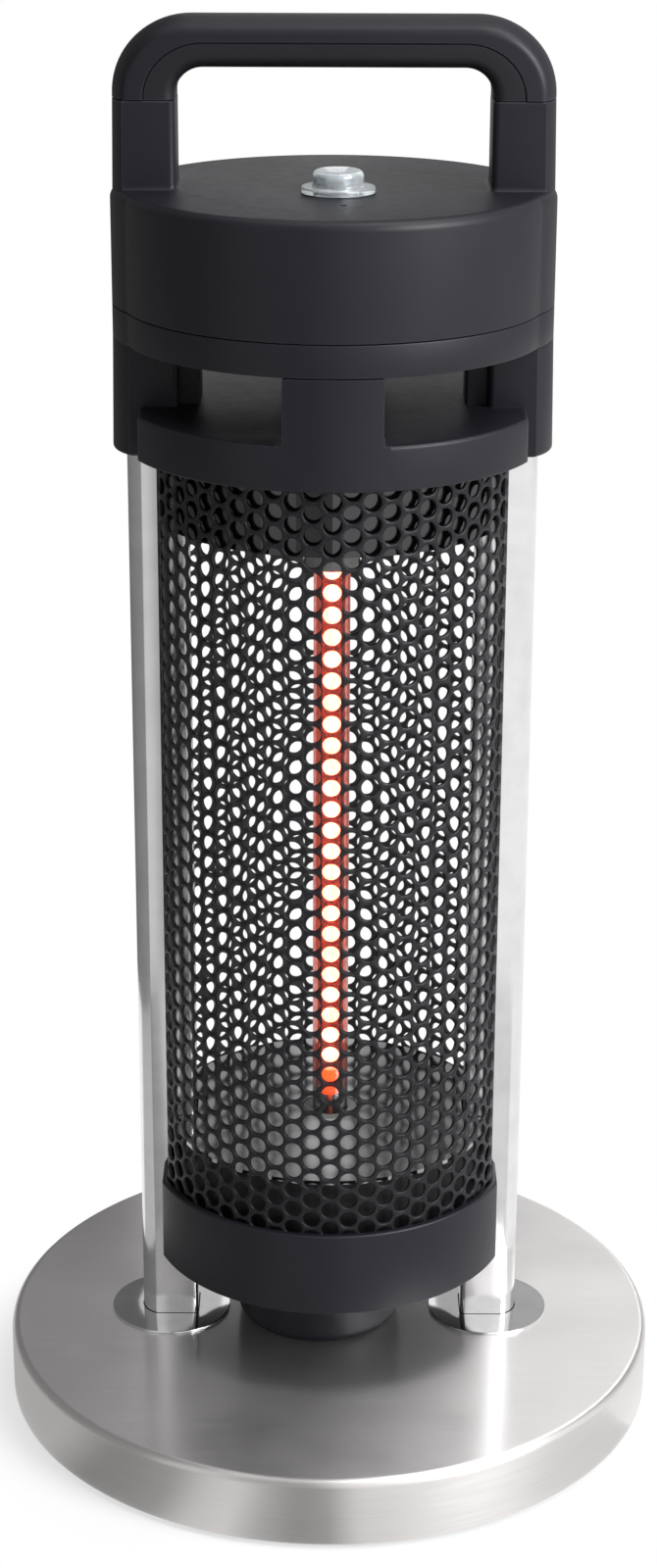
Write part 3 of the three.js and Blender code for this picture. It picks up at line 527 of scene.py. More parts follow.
def quartz_material():
    """Thin clear tube with a red haze along the hot length."""
    finish = Finish("quartz", (0.9, 0.9, 0.9), 0.03)
    smears = finish.noise(0.004, (1, 1, 0.2), detail=4)
    hot = finish.hot_length((GLOW_LOW, GLOW_LOW + 0.03), (GLOW_HIGH, GLOW_HIGH + 0.003))
    heat = finish.combine(hot, finish.ranged(smears, 0.8, 1.2))
    haze = finish.node("ShaderNodeEmission")
    haze.inputs["Color"].default_value = (1.0, 0.1, 0.04, 1)
    finish.link(finish.combine(heat, 0.3), haze.inputs["Strength"])
    tint = finish.blend(heat, (0.96, 0.97, 0.97), (0.8, 0.42, 0.38))
    clear = finish.node("ShaderNodeBsdfTransparent")
    finish.link(tint, clear.inputs["Color"])
    hazy = finish.node("ShaderNodeAddShader")
    finish.link(clear.outputs[0], hazy.inputs[0])
    finish.link(haze.outputs[0], hazy.inputs[1])
    gloss = finish.node("ShaderNodeBsdfGlossy")
    finish.link(finish.ranged(smears, 0.02, 0.06), gloss.inputs["Roughness"])
    edge = finish.node("ShaderNodeFresnel")
    edge.inputs["IOR"].default_value = 1.45
    mix = finish.node("ShaderNodeMixShader")
    finish.link(edge.outputs[0], mix.inputs["Fac"])
    finish.link(hazy.outputs[0], mix.inputs[1])
    finish.link(gloss.outputs[0], mix.inputs[2])
    finish.link(mix.outputs[0], finish.tree.nodes["Material Output"].inputs["Surface"])
    finish.tree.nodes.remove(finish.shader)
    return finish.material


def assign(obj, *materials):
    obj.data.materials.clear()
    for material in materials:
        obj.data.materials.append(material)


black_plastic = moulded_plastic("moulded_black", (0.0088, 0.0083, 0.0128), 0.42)
grip_plastic = moulded_plastic("grip_black", (0.0078, 0.0075, 0.0105), 0.5)
steel_top = brushed_steel("brushed_top", (0.01, 1, 1), (0.75, 0.728, 0.726), 0.34, "Y", 0.96)
steel_wall = brushed_steel("brushed_wall", (0.01, 0.01, 1), (0.79, 0.768, 0.755), 0.34, "Z", 0.8)
mirror = polished_steel("mirror_plate", (0.83, 0.83, 0.83), 0.06)
pan_steel = polished_steel("satin_pan", (0.42, 0.42, 0.425), 0.1)
shield_steel = polished_steel("dark_shield", (0.08, 0.08, 0.083), 0.12)
tube_steel = polished_steel("upright_tube", (0.8, 0.8, 0.805), 0.13, "z")
guard_black = coated_sheet("guard_black", (0.0072, 0.007, 0.0095), 0.42, glare=0.12)
pod_black = coated_sheet("pod_black", (0.008, 0.008, 0.009), 0.5)
zinc = plain_grain("zinc_plate", (0.36, 0.37, 0.39), 0.4, 1.0)
rubber = plain_grain("foot_rubber", (0.02, 0.02, 0.021), 0.85)
concrete = plain_grain("ballast", (0.27, 0.255, 0.23), 0.9, size=0.004, height=0.0003)
ceramic = plain_grain("ceramic", (0.33, 0.32, 0.31), 0.65, size=0.001)
terminal_plastic = plain_grain("terminal_cream", (0.76, 0.74, 0.66), 0.5)
button_metal = polished_steel("button_metal", (0.6, 0.64, 0.66), 0.16)
clear_boot = clear_material("clear_boot", (0.86, 0.9, 0.92), 0.05, 1.5, 0.8)
quartz = quartz_material()
glow = glow_material()


def keep(node, material):
    """A frame node whose shape is right gets a better material."""
    assign(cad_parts[node], material)


def dress(obj, slot, node, *materials, angle=32, body=HEATER):
    """Finishes a piece that stands for a frame node."""
    smooth(obj, angle)
    assign(obj, *materials)
    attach(obj, body)
    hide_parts(node)


# Base


def make_base():
    wall, edge, hem = 0.0012, 0.0032, 0.0006
    under = BASE_TOP - wall
    inner = BASE_RADIUS - wall
    profile = [(0, under, 0), (inner, under, edge - wall), (inner, BASE_BOTTOM, 0)]
    profile += [(BASE_RADIUS, BASE_BOTTOM, hem), (BASE_RADIUS, BASE_TOP, edge), (0, BASE_TOP, 0)]
    shell = lathe("brushed_base", profile, steps=BASE_TURN, arc=FINE_ARC)
    cut_uprights(shell, under - OVERRUN, BASE_TOP + OVERRUN)
    wire_hole, inlet_hole = 0.009, 0.0065
    boolean(shell, disc(wire_hole, under - OVERRUN, BASE_TOP + OVERRUN, (NECK_X, 0)))
    inlet_low, inlet_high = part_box("cord_inlet")
    inlet_z = (inlet_low.z + inlet_high.z) / 2
    rod = disc(inlet_hole, -2 * inlet_hole, 2 * inlet_hole)
    lying = Matrix.Rotation(math.pi / 2, 4, "X")
    rod.data.transform(Matrix.Translation((0, BASE_RADIUS, inlet_z)) @ lying)
    boolean(shell, rod)
    dress(shell, "brushed_steel", "base_shell", steel_top, steel_wall)
    level_face = 0.9
    for face in shell.data.polygons:
        face.material_index = 0 if abs(face.normal.z) > level_face else 1


def make_feet():
    for place in ("front_left", "front_right", "rear_left", "rear_right"):
        low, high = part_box("foot_" + place)
        radius = (high.x - low.x) / 2
        bevel, dimple = 0.0008, 0.0005
        profile = [(0, low.z + dimple, 0), (radius * 0.55, low.z + dimple, 0)]
        profile += [(radius * 0.6, low.z, 0), (radius, low.z, bevel)]
        profile += [(radius, high.z, 0), (0, high.z, 0)]
        foot = lathe("rubber_" + place, profile, box_middle(low, high), SMALL_TURN)
        dress(foot, "rubber", "foot_" + place, rubber)


def make_escutcheons():
    edge = 0.0004
    low, high = plate_low.z, plate_high.z
    radius = (plate_high.x - plate_low.x) / 2
    profile = [(0, low, 0), (radius, low, 0), (radius, high, edge), (0, high, 0)]
    for name, side in SIDES:
        plate = lathe("plate_" + name, profile, (side * BOLT_X, 0), MIDDLE_TURN)
        boolean(plate, prism(oval(side, UPRIGHT, -GAP), low - OVERRUN, high + OVERRUN))
        dress(plate, "mirror_steel", "escutcheon_" + name, mirror)


def make_uprights():
    wall, plug = 0.0015, 0.012
    for name, side in SIDES:
        tube = prism(oval(side, UPRIGHT), upright_low.z, upright_high.z)
        tube.name = "tube_" + name
        bore = prism(oval(side, UPRIGHT, wall), upright_low.z + plug, upright_high.z + OVERRUN)
        boolean(tube, bore)
        dress(tube, "satin_steel", "upright_" + name, tube_steel, angle=40)


# Neck and lower ring


def make_neck():
    wall, foot_radius, edge = 0.003, 0.0315, 0.005
    bore, top_radius = foot_radius - wall - edge, (neck_high.x - neck_low.x) / 2
    profile = [(bore, neck_low.z, 0), (foot_radius, neck_low.z, edge)]
    profile += [(top_radius, neck_high.z, 0), (bore, neck_high.z, 0)]
    neck = lathe("boss", profile, (NECK_X, 0), MIDDLE_TURN)
    dress(neck, "black_plastic", "neck", black_plastic)


def make_ring():
    floor, edge, rim, cheek, wire_hole = 0.003, 0.0008, 0.0009, 0.0023, 0.012
    outline = clipped_circle(RING_RADIUS, RING_HALF)
    ring = stack("lower_ring", outline, edge_levels(ring_low.z, ring_high.z, edge, rim))
    room = clipped_circle(GUARD_RADIUS + GAP, GUARD_HALF + GAP)
    pocket = stack("tool", room, [(ring_low.z + floor, 0), (ring_high.z + OVERRUN, 0)])
    for _, side in SIDES:
        boolean(pocket, prism(oval(side, UPRIGHT, -cheek), ring_low.z, ring_high.z + 2 * OVERRUN))
    boolean(ring, pocket)
    cut_uprights(ring, ring_low.z - OVERRUN, ring_high.z + OVERRUN)
    boolean(ring, disc(wire_hole, ring_low.z - OVERRUN, ring_low.z + 2 * floor))
    dress(ring, "black_plastic", "ring_lower", black_plastic)


# Perforated guard

HOLE = {
    "radius": 0.0032,
    "rim": 0.00022,
    "column_pitch": 0.006845,
    "row_pitch": 0.007871,
    "first": 0.0982,
    "columns": 11,
    "rows": range(-2, 38),
    "points": 18,
}
SHEET = 0.0012
# How near to the middle plane a return reaches, free and beside a passage
FLAT_BACK, PASSAGE_BACK = 0.0088, 0.0113
PASSAGE_DROP = 0.0028
GUARD_REACH = math.asin(GUARD_HALF / GUARD_RADIUS)
GUARD_TURN = GUARD_REACH * GUARD_RADIUS
GUARD_BEND = GUARD_RADIUS * math.cos(GUARD_REACH)


def hexagon_edge():
    """Points round one hole's cell, equally many on each of its six sides."""
    across, up = HOLE["column_pitch"], HOLE["row_pitch"] / 2
    half_square = (across * across + up * up) / 2
    near, far = (half_square - up * up) / across, half_square / across
    corners = [(far, 0), (near, up), (-near, up), (-far, 0), (-near, -up), (near, -up)]
    share = HOLE["points"] // 6
    points = []
    for (u0, v0), (u1, v1) in zip(corners, corners[1:] + corners[:1]):
        for k in range(share):
            t = k / share
            points.append((u0 + (u1 - u0) * t, v0 + (v1 - v0) * t))
    return points


def guard_cells():
    """Centres of the holes, along the sheet and up."""
    pitch = HOLE["row_pitch"]
    centres = []
    for column in range(-HOLE["columns"], HOLE["columns"] + 1):
        shift = pitch / 2 if column % 2 else 0
        for row in HOLE["rows"]:
            z = HOLE["first"] + shift + row * pitch
            if guard_low.z + pitch < z < guard_high.z - pitch:
                centres.append((column * HOLE["column_pitch"], z))
    return centres


def bend_sheet(s, z, depth):
    """Sheet coordinates to space: an arc with a straight return at both ends."""
    if abs(s) <= GUARD_TURN:
        angle = s / GUARD_RADIUS
        r = GUARD_RADIUS - depth
        return (r * math.sin(angle), -r * math.cos(angle), z)
    side = 1 if s > 0 else -1
    return (side * (GUARD_HALF - depth), -GUARD_BEND + abs(s) - GUARD_TURN, z)


def guard_sheet():
    """Vertices and faces of the front half."""
    cell = hexagon_edge()
    angles = [math.atan2(v, u) for u, v in cell]
    radius, rim = HOLE["radius"], HOLE["rim"]
    verts, index, faces = [], {}, []

    def point(s, z, depth):
        key = (round(s * 1e7), round(z * 1e7), round(depth * 1e7))
        if key not in index:
            index[key] = len(verts)
            verts.append(bend_sheet(s, z, depth))
        return index[key]

    edges = {}
    for s, z in guard_cells():
        rings = [[(s + u, z + v, 0.0) for u, v in cell]]
        for r, depth in ((radius + rim, 0.0), (radius, rim), (radius, SHEET)):
            rings.append([(s + r * math.cos(a), z + r * math.sin(a), depth) for a in angles])
        rings.append([(s + u, z + v, SHEET) for u, v in cell])
        ids = [[point(*p) for p in ring] for ring in rings]
        turn = [(j, (j + 1) % HOLE["points"]) for j in range(HOLE["points"])]
        for a, b in zip(ids, ids[1:]):
            for j, k in turn:
                faces.append((a[j], a[k], b[k], b[j]))
        for j, k in turn:
            first, second = rings[0][j][:2], rings[0][k][:2]
            key = frozenset((point(*first, 0.0), point(*second, 0.0)))
            if key in edges:
                del edges[key]
            else:
                edges[key] = (first, second)
    add_border(edges.values(), point, faces)
    return verts, faces


def add_border(edges, point, faces):
    """Plain strips from the pattern's ragged edge out to the sheet's straight edges."""
    turn, low, high = GUARD_TURN, guard_low.z, guard_high.z
    far = max(max(a[0], b[0]) for a, b in edges)
    side_edge = far - HOLE["column_pitch"] * 0.4
    tolerance = 1e-9
    strips = []
    for a, b in edges:
        if abs(a[0] + b[0]) / 2 > side_edge:
            beside = [(math.copysign(turn, s), z) for s, z in (b, a)]
            strips.append((a, b, *beside))
        else:
            level = high if a[0] > b[0] else low
            strips.append((a, b, (b[0], level), (a[0], level)))
    sides = [a for a, _ in edges if abs(a[0]) > side_edge - 0.001]
    for side in (-1, 1):
        column = [p for p in sides if p[0] * side > 0]
        for pick, level in ((max, high), (min, low)):
            s, z = pick(column, key=lambda p: p[1])
            strips.append(((s, z), (s, level), (side * turn, level), (side * turn, z)))
    for quad in strips:
        outer = [point(s, z, 0.0) for s, z in quad]
        inner = [point(s, z, SHEET) for s, z in quad]
        faces += [tuple(outer), tuple(reversed(inner))]
    levels = [low, ring_high.z + GAP, COLLAR_BOTTOM - PASSAGE_DROP, high]
    ends = [PASSAGE_BACK, FLAT_BACK, PASSAGE_BACK]
    corners = [corner for quad in strips for corner in quad]
    joined = {round(z, 9) for s, z in corners if abs(abs(s) - turn) < tolerance}
    cuts = sorted(joined | set(levels))
    for side in (-1, 1):
        for a, b in zip(cuts, cuts[1:]):
            end = next(e for e, top in zip(ends, levels[1:]) if (a + b) / 2 < top)
            s_end = turn + GUARD_BEND - end
            flat = [(turn, a), (s_end, a), (s_end, b), (turn, b)]
            quad = [(side * s, z) for s, z in flat]
            outer = [point(s, z, 0.0) for s, z in quad]
            inner = [point(s, z, SHEET) for s, z in reversed(quad)]
            faces += [tuple(outer), tuple(inner)]


def make_guards():
    verts, faces = guard_sheet()
    for name, turned in (("front", 0), ("rear", math.pi)):
        half = add_object("perforated_" + name, verts, faces)
        close_open_edges(half)
        half.data.transform(Matrix.Rotation(turned, 4, "Z"))
        dress(half, "black_sheet", "guard_" + name, guard_black, angle=50)


def close_open_edges(obj):
    """Joins the outer and inner surfaces along every open edge."""
    work = bmesh.new()
    work.from_mesh(obj.data)
    merge = 1e-6
    bmesh.ops.remove_doubles(work, verts=work.verts, dist=merge)
    bmesh.ops.bridge_loops(work, edges=[e for e in work.edges if e.is_boundary])
    bmesh.ops.recalc_face_normals(work, faces=work.faces)
    work.to_mesh(obj.data)
    work.free()


# Lamp


def make_quartz_tube():
    radius, wall = tube_high.x, 0.001
    bore, low, high = radius - wall, tube_low.z, tube_high.z
    profile = [(bore, low, 0), (radius, low, 0), (radius, high, 0), (bore, high, 0)]
    glass = lathe("lamp_glass", profile, steps=SMALL_TURN)
    dress(glass, "quartz", "quartz_tube", quartz)
    glass.visible_glossy = False


def make_element():
    """A glowing rod with a helical rib, on thin straight leads."""
    core, rib, pitch, lead = 0.0044, 0.0006, 0.0026, 0.0009
    around, per_turn = 24, 12
    step = pitch / per_turn
    steps = int((GLOW_HIGH - GLOW_LOW) / step)

    def ring(z, radius_of=lambda a: lead):
        turn = [2 * math.pi * k / around for k in range(around)]
        return [(radius_of(a) * math.cos(a), radius_of(a) * math.sin(a), z) for a in turn]

    rings = [ring(element_low.z), ring(GLOW_LOW - lead)]
    for k in range(steps + 1):
        z = GLOW_LOW + k * step
        phase = 2 * math.pi * z / pitch
        rings.append(ring(z, lambda a: core + rib * (0.5 + 0.5 * math.cos(a - phase))))
    rings += [ring(GLOW_HIGH + lead), ring(element_high.z)]
    element = loft("glowing_element", rings)
    dress(element, "element", "lamp_element", glow, angle=60)
    element.visible_diffuse = False
    element.visible_glossy = False


# Head


def front_and_rear_rib(outline, edge, top):
    """Both ribs from the collar up to the band, with a small fillet at the foot."""
    half, depth, corner, foot = 0.017, 0.012, 0.0014, 0.0008
    root = half + 3 * foot
    right = [(root, COLLAR_BOTTOM + edge, 0), (root, COLLAR_TOP, 0)]
    right += [(half, COLLAR_TOP, foot), (half, top, corner)]
    left = [(-x, z, radius) for x, z, radius in reversed(right)]
    profile = rounded(left[-1:] + right + left[:-1])
    reach = HEAD_RADIUS + OVERRUN
    slab = loft("rib", [[(x, y, z) for x, z in profile] for y in (reach, -reach)])
    boolean(slab, stack("tool", outline, [(COLLAR_BOTTOM, 0), (top + OVERRUN, 0)]), "INTERSECT")
    core = disc(HEAD_RADIUS - depth, COLLAR_BOTTOM - OVERRUN, top + OVERRUN, steps=TURN)
    return boolean(slab, core)


def pillar(side, top):
    """Block that carries the band beside an ear."""
    reach, root, half, corner = 0.0075, 0.006, 0.010, 0.001
    near, far = EAR["inner"] - reach, EAR["inner"] + root
    block = [(near, -half, corner), (far, -half, 0), (far, half, 0), (near, half, corner)]
    points = [(side * x, y) for x, y in rounded(block)]
    return prism(points[::side], COLLAR_TOP - OVERRUN, top)


def ear(side, bottom, top):
    low_edge, high_edge = 0.0016, 0.0002
    levels = edge_levels(bottom, top, low_edge, high_edge)
    return taper(stack("ear", lambda inset: oval(side, EAR, inset), levels))


def make_housing():
    edge, low_edge = 0.0015, 0.0006
    bottom, top = housing_low.z, housing_high.z
    outline = clipped_circle(HEAD_RADIUS, COLLAR_HALF)
    levels = edge_levels(COLLAR_BOTTOM, COLLAR_TOP, low_edge, edge)
    housing = stack("vent_housing", outline, levels)
    boolean(housing, front_and_rear_rib(outline, edge, top), "UNION")
    for _, side in SIDES:
        boolean(housing, pillar(side, top), "UNION")
        boolean(housing, ear(side, bottom, top), "UNION")
    wall, floor = 0.0037, 0.004
    room = clipped_circle(HEAD_RADIUS - wall, COLLAR_HALF - wall)
    pocket = stack("tool", room, [(bottom - 2 * OVERRUN, 0), (COLLAR_TOP - floor, 0)])
    for _, side in SIDES:
        boolean(pocket, prism(oval(side, EAR, -GAP), bottom - 3 * OVERRUN, COLLAR_TOP))
    boolean(housing, pocket)
    cut_uprights(housing, bottom - OVERRUN, upright_high.z + GAP)
    dress(housing, "black_plastic", "head_housing", black_plastic)


def make_band():
    edge, steps = 0.00035, 3
    levels = edge_levels(band_low.z, band_high.z, edge, edge, steps)
    band = stack("vent_band", winged_drum, levels)
    dress(band, "black_plastic", "head_band", black_plastic)


def post_rings(side):
    """A post from the cap's foot to the handle, with a small fillet at the roof."""
    fillet, fade, seam_edge = 0.0016, 0.006, 0.0004
    flush = EAR["outer"] - 0.004
    levels = [(cap_low.z, 0), (CAP_TOP - OVERRUN, 1)]
    for k in range(ARC + 1):
        a = math.pi / 2 * k / ARC
        levels.append((CAP_TOP + fillet * (1 - math.cos(a)), 1 - math.sin(a)))
    levels.append((cap_high.z - seam_edge, 0))
    plain = oval(side, POST)
    grown = oval(side, POST, -fillet)
    rings = []
    for z, share in levels:
        ring = []
        for (x0, y0), (x1, y1) in zip(plain, grown):
            t = share * min(max((flush - abs(x0)) / fade, 0), 1)
            ring.append((x0 + (x1 - x0) * t, y0 + (y1 - y0) * t, z))
        rings.append(ring)
    rings.append([(x, y, cap_high.z) for x, y in oval(side, POST, seam_edge)])
    return rings


def make_cap():
    edge, low_edge = 0.0035, 0.00035
    levels = edge_levels(cap_low.z, CAP_TOP, low_edge, edge, FINE_ARC)
    cap = stack("switch_cap", winged_drum, levels)
    for _, side in SIDES:
        boolean(cap, taper(loft("post", post_rings(side))), "UNION")
    wall, roof, side_wall = 0.0025, 0.003, 0.003
    room = clipped_circle(HEAD_RADIUS - wall, EAR["inner"] - side_wall)
    boolean(cap, stack("tool", room, [(cap_low.z - OVERRUN, 0), (CAP_TOP - roof, 0)]))
    switch, switch_hole = box_middle(boot_low, boot_high), 0.0074
    boolean(cap, disc(switch_hole, CAP_TOP - 2 * roof, CAP_TOP + OVERRUN, switch))
    mark_radius, mark_depth, mark_turn = 0.0013, 0.0012, 24
    for place in ((switch[0] + 0.0008, 0.0361), (switch[0] + 0.0016, -0.0407)):
        mark = disc(mark_radius, CAP_TOP - mark_depth, CAP_TOP + OVERRUN, place, mark_turn)
        boolean(cap, mark)
    dress(cap, "black_plastic", "head_cap", black_plastic)


# Handle

SHELL_CORNER = (0.0275, 0.0263)
SEAM_CORNER = (0.0205, 0.0188)
GRIP_CORNER = (0.0095, 0.0091)
GRIP_LIFT = 0.0014
SHELL_SIDE = 0.011
CORNER_STEPS, TOP_STEPS, SECTION_STEPS = 22, 14, 16


def bridge(half, top, corner, foot):
    """Points and outward directions of a bridge line: legs, oval corners, flat top."""
    run, rise = corner
    points = [((-half, foot), (-1.0, 0.0))]

    def add(cx, angle):
        x, z = cx + run * math.cos(angle), top - rise + rise * math.sin(angle)
        way = Vector((math.cos(angle) / run, math.sin(angle) / rise)).normalized()
        points.append(((x, z), tuple(way)))

    for k in range(CORNER_STEPS + 1):
        add(run - half, math.pi - math.pi / 2 * k / CORNER_STEPS)
    for k in range(1, TOP_STEPS):
        x = (half - run) * (2 * k / TOP_STEPS - 1)
        points.append(((x, top), (0.0, 1.0)))
    for k in range(CORNER_STEPS + 1):
        add(half - run, math.pi / 2 - math.pi / 2 * k / CORNER_STEPS)
    points.append(((half, foot), (1.0, 0.0)))
    return points


def handle_section(half_depth, bulge, corner):
    """Front-to-back outline of the outer side, as (y, depth below the outer line)."""
    radius = (half_depth * half_depth + bulge * bulge) / (2 * bulge)
    reach = math.asin(half_depth / radius)
    angles = np.linspace(-reach, reach, SECTION_STEPS + 1)
    inner = [(radius * math.sin(a), radius - radius * math.cos(a)) for a in angles][2:-2]
    blend = []
    for side, near, further in ((-half_depth, *inner[:2]), (half_depth, *inner[:-3:-1])):
        (y0, d0), (y1, d1) = near, further
        corner_depth = d0 + (d0 - d1) / (y0 - y1) * (side - y0)
        start, mid = Vector(near), Vector((side, corner_depth))
        end = Vector((side, corner_depth + corner))
        arc = []
        for k in range(ARC + 1):
            t = k / ARC
            arc.append(tuple(start * (1 - t) ** 2 + mid * 2 * t * (1 - t) + end * t * t))
        blend.append(arc)
    return blend[0][::-1] + inner[1:-1] + blend[1]


def make_handle_shell():
    foot, half, depth = shell_low.z, shell_high.x, shell_high.y
    corner, edge = 0.0022, 0.0004
    outer = bridge(half, shell_high.z, SHELL_CORNER, foot)
    seam = bridge(half - SHELL_SIDE, foot + SEAM_CORNER[1], SEAM_CORNER, foot)
    section = handle_section(depth, POST["bulge"], corner)
    rings = []
    for (outer_point, way), (seam_point, _) in zip(outer, seam):
        o, n, s = Vector(outer_point), Vector(way), Vector(seam_point)
        toward = (o - s).normalized()
        ring = [(o - n * d, y) for y, d in section]
        ring.append((s + toward * edge, depth))
        ring.append((s, depth - edge))
        ring.append((s, edge - depth))
        ring.append((s + toward * edge, -depth))
        rings.append([(p.x, y, p.y) for p, y in ring])
    shell = loft("grip_cover", rings)
    dress(shell, "black_plastic", "handle_shell", black_plastic)


def make_handle_grip():
    foot, depth = grip_low.z, grip_high.y
    joint, edge, round_under, most = 0.00004, 0.0004, 0.0042, 0.7
    corner = (SEAM_CORNER[0] - joint, SEAM_CORNER[1] - joint)
    outer = bridge(shell_high.x - SHELL_SIDE - joint, foot + corner[1], corner, foot)
    inner = bridge(EAR["inner"], foot + GRIP_LIFT + GRIP_CORNER[1], GRIP_CORNER, foot)
    rings = []
    for (outer_point, _), (inner_point, way) in zip(outer, inner):
        o, i = Vector(outer_point), Vector(inner_point)
        toward = (o - i).normalized()
        reach = min(round_under, (o - i).length * most)
        near = o - toward * edge
        ring = [(near, -depth), (o, edge - depth), (o, depth - edge), (near, depth)]
        under = []
        for k in range(ARC + 1):
            a = math.pi / 2 * k / ARC
            y = depth - round_under * (1 - math.cos(a))
            under.append((i + toward * reach * (1 - math.sin(a)), y))
        ring += under + [(p, -y) for p, y in reversed(under)]
        rings.append([(p.x, y, p.y) for p, y in ring])
    grip = loft("grip_bar", rings)
    dress(grip, "grip_plastic", "handle_grip", grip_plastic)


# Power switch


def make_boot():
    x, y = box_middle(boot_low, boot_high)
    flange = (boot_high.x - boot_low.x) / 2
    dome, wall, flange_height, edge = 0.0088, 0.0008, 0.002, 0.0022
    bottom, top = boot_low.z, boot_high.z
    step, inner = bottom + flange_height, dome - wall
    profile = [(0, top, 0), (0, top - wall, 0), (inner, top - wall, edge - wall)]
    profile += [(inner, bottom, 0), (flange, bottom, 0.0003), (flange, step, 0.0007)]
    profile += [(dome, step, 0.0006), (dome, top, edge)]
    boot = lathe("clear_cover", profile, (x, y), SWITCH_TURN)
    dress(boot, "clear_boot", "switch_boot", clear_boot, angle=50)
    bpy.context.view_layer.update()
    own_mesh(boot)


def make_button():
    radius, low, high = (button_high.x - button_low.x) / 2, button_low.z, button_high.z
    stem, height, dish, edge, rim = 0.003, 0.0042, 0.0004, 0.0003, 0.0007
    profile = [(0, low, 0), (stem, low, edge), (stem, high - height, 0)]
    profile += [(radius, high - height, edge), (radius, high, rim), (radius * 0.72, high, edge)]
    profile += [(radius * 0.62, high - dish, edge), (0, high - dish, 0)]
    place = box_middle(button_low, button_high)
    button = lathe("steel_button", profile, place, SWITCH_TURN)
    dress(button, "switch_metal", "power_button", button_metal, body="power_button")


# Frame nodes that keep their shape

KEPT = {
    "base_ballast": concrete,
    "base_plate": zinc,
    "cord_inlet": black_plastic,
    "tip_switch_body": black_plastic,
    "tip_switch_pin": button_metal,
    "upright_bolt_left": zinc,
    "upright_bolt_right": zinc,
    "lamp_pod": pod_black,
    "reflector_lower": pan_steel,
    "lamp_cap_lower": ceramic,
    "lamp_cap_upper": ceramic,
    "reflector_upper": shield_steel,
    "lamp_bracket": pod_black,
    "switch_body": black_plastic,
    "switch_nut": zinc,
    "terminal_block": terminal_plastic,
}

make_base()
make_feet()
make_escutcheons()
make_uprights()
make_neck()
make_ring()
make_guards()
make_quartz_tube()
make_element()
make_housing()
make_band()
make_cap()
make_handle_shell()
make_handle_grip()
make_boot()
make_button()
for node_name, node_material in KEPT.items():
    keep(node_name, node_material)


# Stage, light and camera


def make_world(ambient):
    world = bpy.data.worlds.new("studio")
    bpy.context.scene.world = world
    world.use_nodes = True
    nodes = Nodes(world.node_tree)
    background = nodes.tree.nodes["Background"]
    background.inputs["Color"].default_value = (1, 1, 1, 1)
    level = nodes.ranged(nodes.seen(), ambient, 1.0, 0, 1)
    nodes.link(level, background.inputs["Strength"])


def stage_material(name):
    """A material with nothing but an output, its nodes, and the object's own coordinates."""
    material = bpy.data.materials.new(name)
    material.use_nodes = True
    nodes = Nodes(material.node_tree)
    nodes.tree.nodes.clear()
    output = nodes.node("ShaderNodeOutputMaterial").inputs["Surface"]
    place = nodes.node("ShaderNodeTexCoord").outputs["Object"]
    return material, nodes, output, place


def floor_material():
    """Pale floor that keeps the shadow near the object and is plain white further out."""
    near, far, share = 0.12, 0.155, 0.62
    material, nodes, output, place = stage_material("floor")
    diffuse = nodes.node("ShaderNodeBsdfDiffuse")
    diffuse.inputs["Color"].default_value = (0.9, 0.9, 0.9, 1)
    white = nodes.node("ShaderNodeEmission")
    length = nodes.node("ShaderNodeVectorMath", operation="LENGTH")
    nodes.link(place, length.inputs[0])
    spread = nodes.ranged(length.outputs["Value"], share, 1.0, near, far, "SMOOTHSTEP")
    mix = nodes.node("ShaderNodeMixShader")
    nodes.link(nodes.combine(spread, nodes.seen()), mix.inputs["Fac"])
    nodes.link(diffuse.outputs[0], mix.inputs[1])
    nodes.link(white.outputs[0], mix.inputs[2])
    nodes.link(mix.outputs[0], output)
    return material


def card_material(name, stops):
    """Glow that changes with the bearing, given as degrees from the front and a grey."""
    material, nodes, output, place = stage_material(name)
    split = nodes.node("ShaderNodeSeparateXYZ")
    nodes.link(place, split.inputs[0])
    ahead = nodes.combine(split.outputs["Y"], -1)
    bearing = nodes.combine(split.outputs["X"], ahead, "ARCTAN2")
    ramp = nodes.node("ShaderNodeValToRGB")
    nodes.link(nodes.ranged(bearing, 0, 1, -math.pi, math.pi), ramp.inputs["Fac"])
    elements = ramp.color_ramp.elements
    elements[0].position = (stops[0][0] + 180) / 360
    elements[1].position = (stops[-1][0] + 180) / 360
    for degrees, _ in stops[1:-1]:
        elements.new((degrees + 180) / 360)
    for element, (_, grey) in zip(elements, stops):
        element.color = (grey, grey, grey, 1)
    glowing = nodes.node("ShaderNodeEmission")
    nodes.link(ramp.outputs["Color"], glowing.inputs["Color"])
    nodes.link(glowing.outputs[0], output)
    return material


def curved_card(name, stops, low, high):
    """A card bent round the object between two edges, each a radius and a height. It is
    seen in reflections only."""
    start, end, count = stops[0][0], stops[-1][0], 48
    verts = []
    for k in range(count + 1):
        bearing = math.radians(start + (end - start) * k / count)
        for radius, z in (low, high):
            verts.append((radius * math.sin(bearing), -radius * math.cos(bearing), z))
    faces = [(2 * k, 2 * k + 2, 2 * k + 3, 2 * k + 1) for k in range(count)]
    card = add_object(name, verts, faces)
    assign(card, card_material(name, stops))
    card.visible_camera = False
    card.visible_diffuse = False
    card.visible_transmission = False
    card.visible_shadow = False


def softbox(name, at, size, power, color=(1, 1, 1)):
    """A rectangular lamp that faces the middle of the object."""
    data = bpy.data.lights.new(name, "AREA")
    data.shape = "RECTANGLE"
    data.size, data.size_y = size
    data.energy = power
    data.color = color
    light = bpy.data.objects.new(name, data)
    light.location = at
    aim = Vector((0, 0, 0.3)) - Vector(at)
    light.rotation_euler = aim.to_track_quat("-Z", "Y").to_euler()
    bpy.context.scene.collection.objects.link(light)


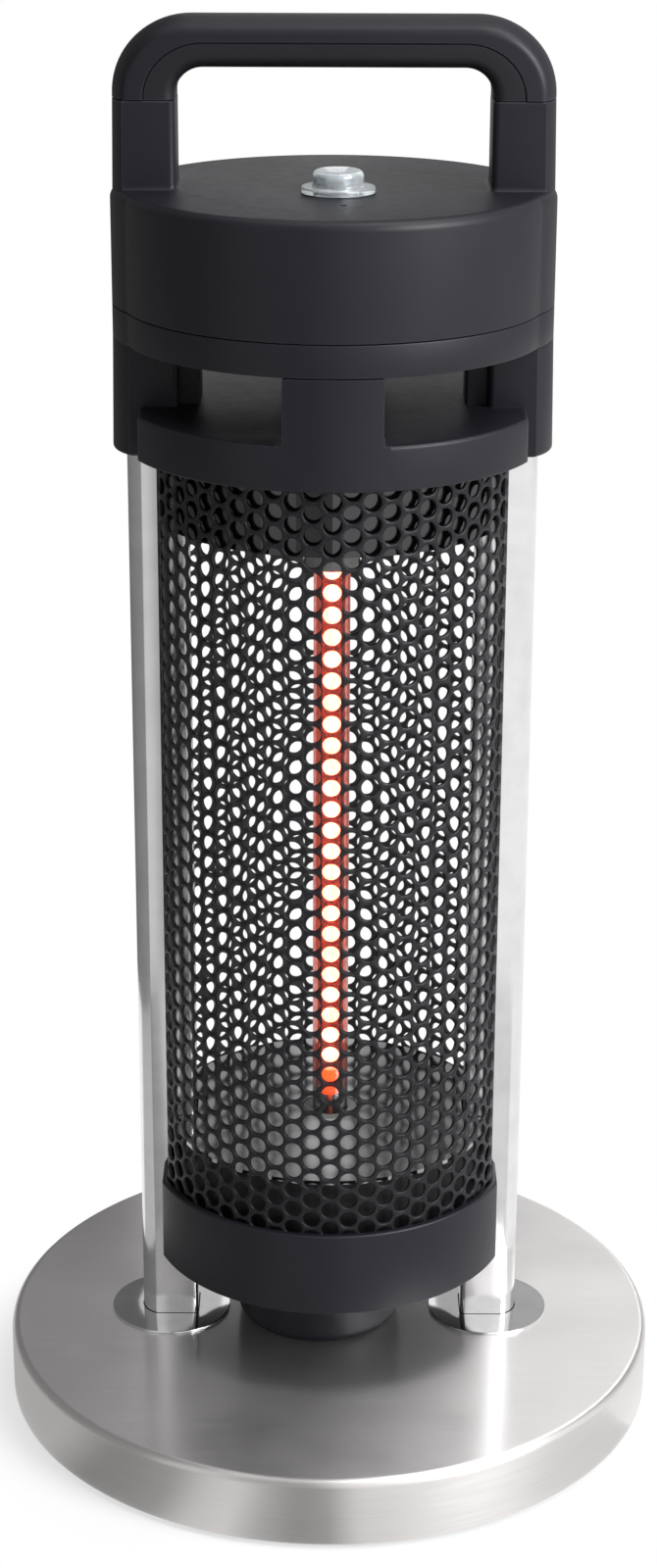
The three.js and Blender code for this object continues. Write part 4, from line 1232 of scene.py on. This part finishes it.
# Bearing in degrees, grey
LEFT_STOPS = [(-165, 0.12), (-112, 0.22), (-95, 0.24), (-56, 0.28), (-48, 0.66)]
LEFT_STOPS += [(-32, 0.68), (-24, 0.42), (-3, 0.34), (4, 0.95), (8, 1.0)]
FOOT_STOPS = [(-110, 0.5), (-62, 0.52), (-50, 0.26), (-41, 0.3), (-33, 0.35), (-26, 0.68)]
FOOT_STOPS += [(-19, 0.78), (-13, 0.48), (-6, 0.3), (0, 0.34), (6, 0.74), (16, 0.78)]
FOOT_STOPS += [(70, 0.75)]
REAR_LEFT_STOPS = [(-179, 0.5), (-165, 0.6), (-126, 0.6)]
REAR_RIGHT_STOPS = [(100, 0.95), (114, 0.5), (150, 0.45), (179, 0.42)]


def make_stage():
    reach = 12.0
    corners = [(-reach, -reach, 0), (reach, -reach, 0), (reach, reach, 0), (-reach, reach, 0)]
    floor = add_object("floor", corners, [(0, 1, 2, 3)])
    assign(floor, floor_material())
    inner, outer, wide, lift = 0.1265, 0.42, 1.2, 0.0004
    curved_card("left_card", LEFT_STOPS, (outer, 0), (outer, 1.1))
    curved_card("foot_card", FOOT_STOPS, (inner, lift), (outer, lift))
    curved_card("rear_left_card", REAR_LEFT_STOPS, (wide, 0.1), (wide, 1.9))
    curved_card("rear_right_card", REAR_RIGHT_STOPS, (wide, 0.1), (wide, 1.9))
    softbox("key", (1.35, -1.0, 1.2), (0.9, 1.2), 44, (0.98, 0.99, 1.0))
    softbox("top", (0.7, -0.15, 2.2), (0.9, 1.2), 15)


def make_camera():
    pitch, roll = 0.3544, 0.0038
    data = bpy.data.cameras.new("camera")
    data.lens = 68.966
    data.sensor_width = 36.0
    data.clip_end = 60.0
    camera = bpy.data.objects.new("camera", data)
    camera.location = (-0.00104, -1.0464, 0.6360)
    turn = Matrix.Rotation(math.pi / 2 - pitch, 4, "X") @ Matrix.Rotation(roll, 4, "Z")
    camera.rotation_euler = turn.to_euler()
    bpy.context.scene.collection.objects.link(camera)
    bpy.context.scene.camera = camera


make_world(0.28)
make_stage()
make_camera()
bpy.context.scene.view_settings.view_transform = "Standard"
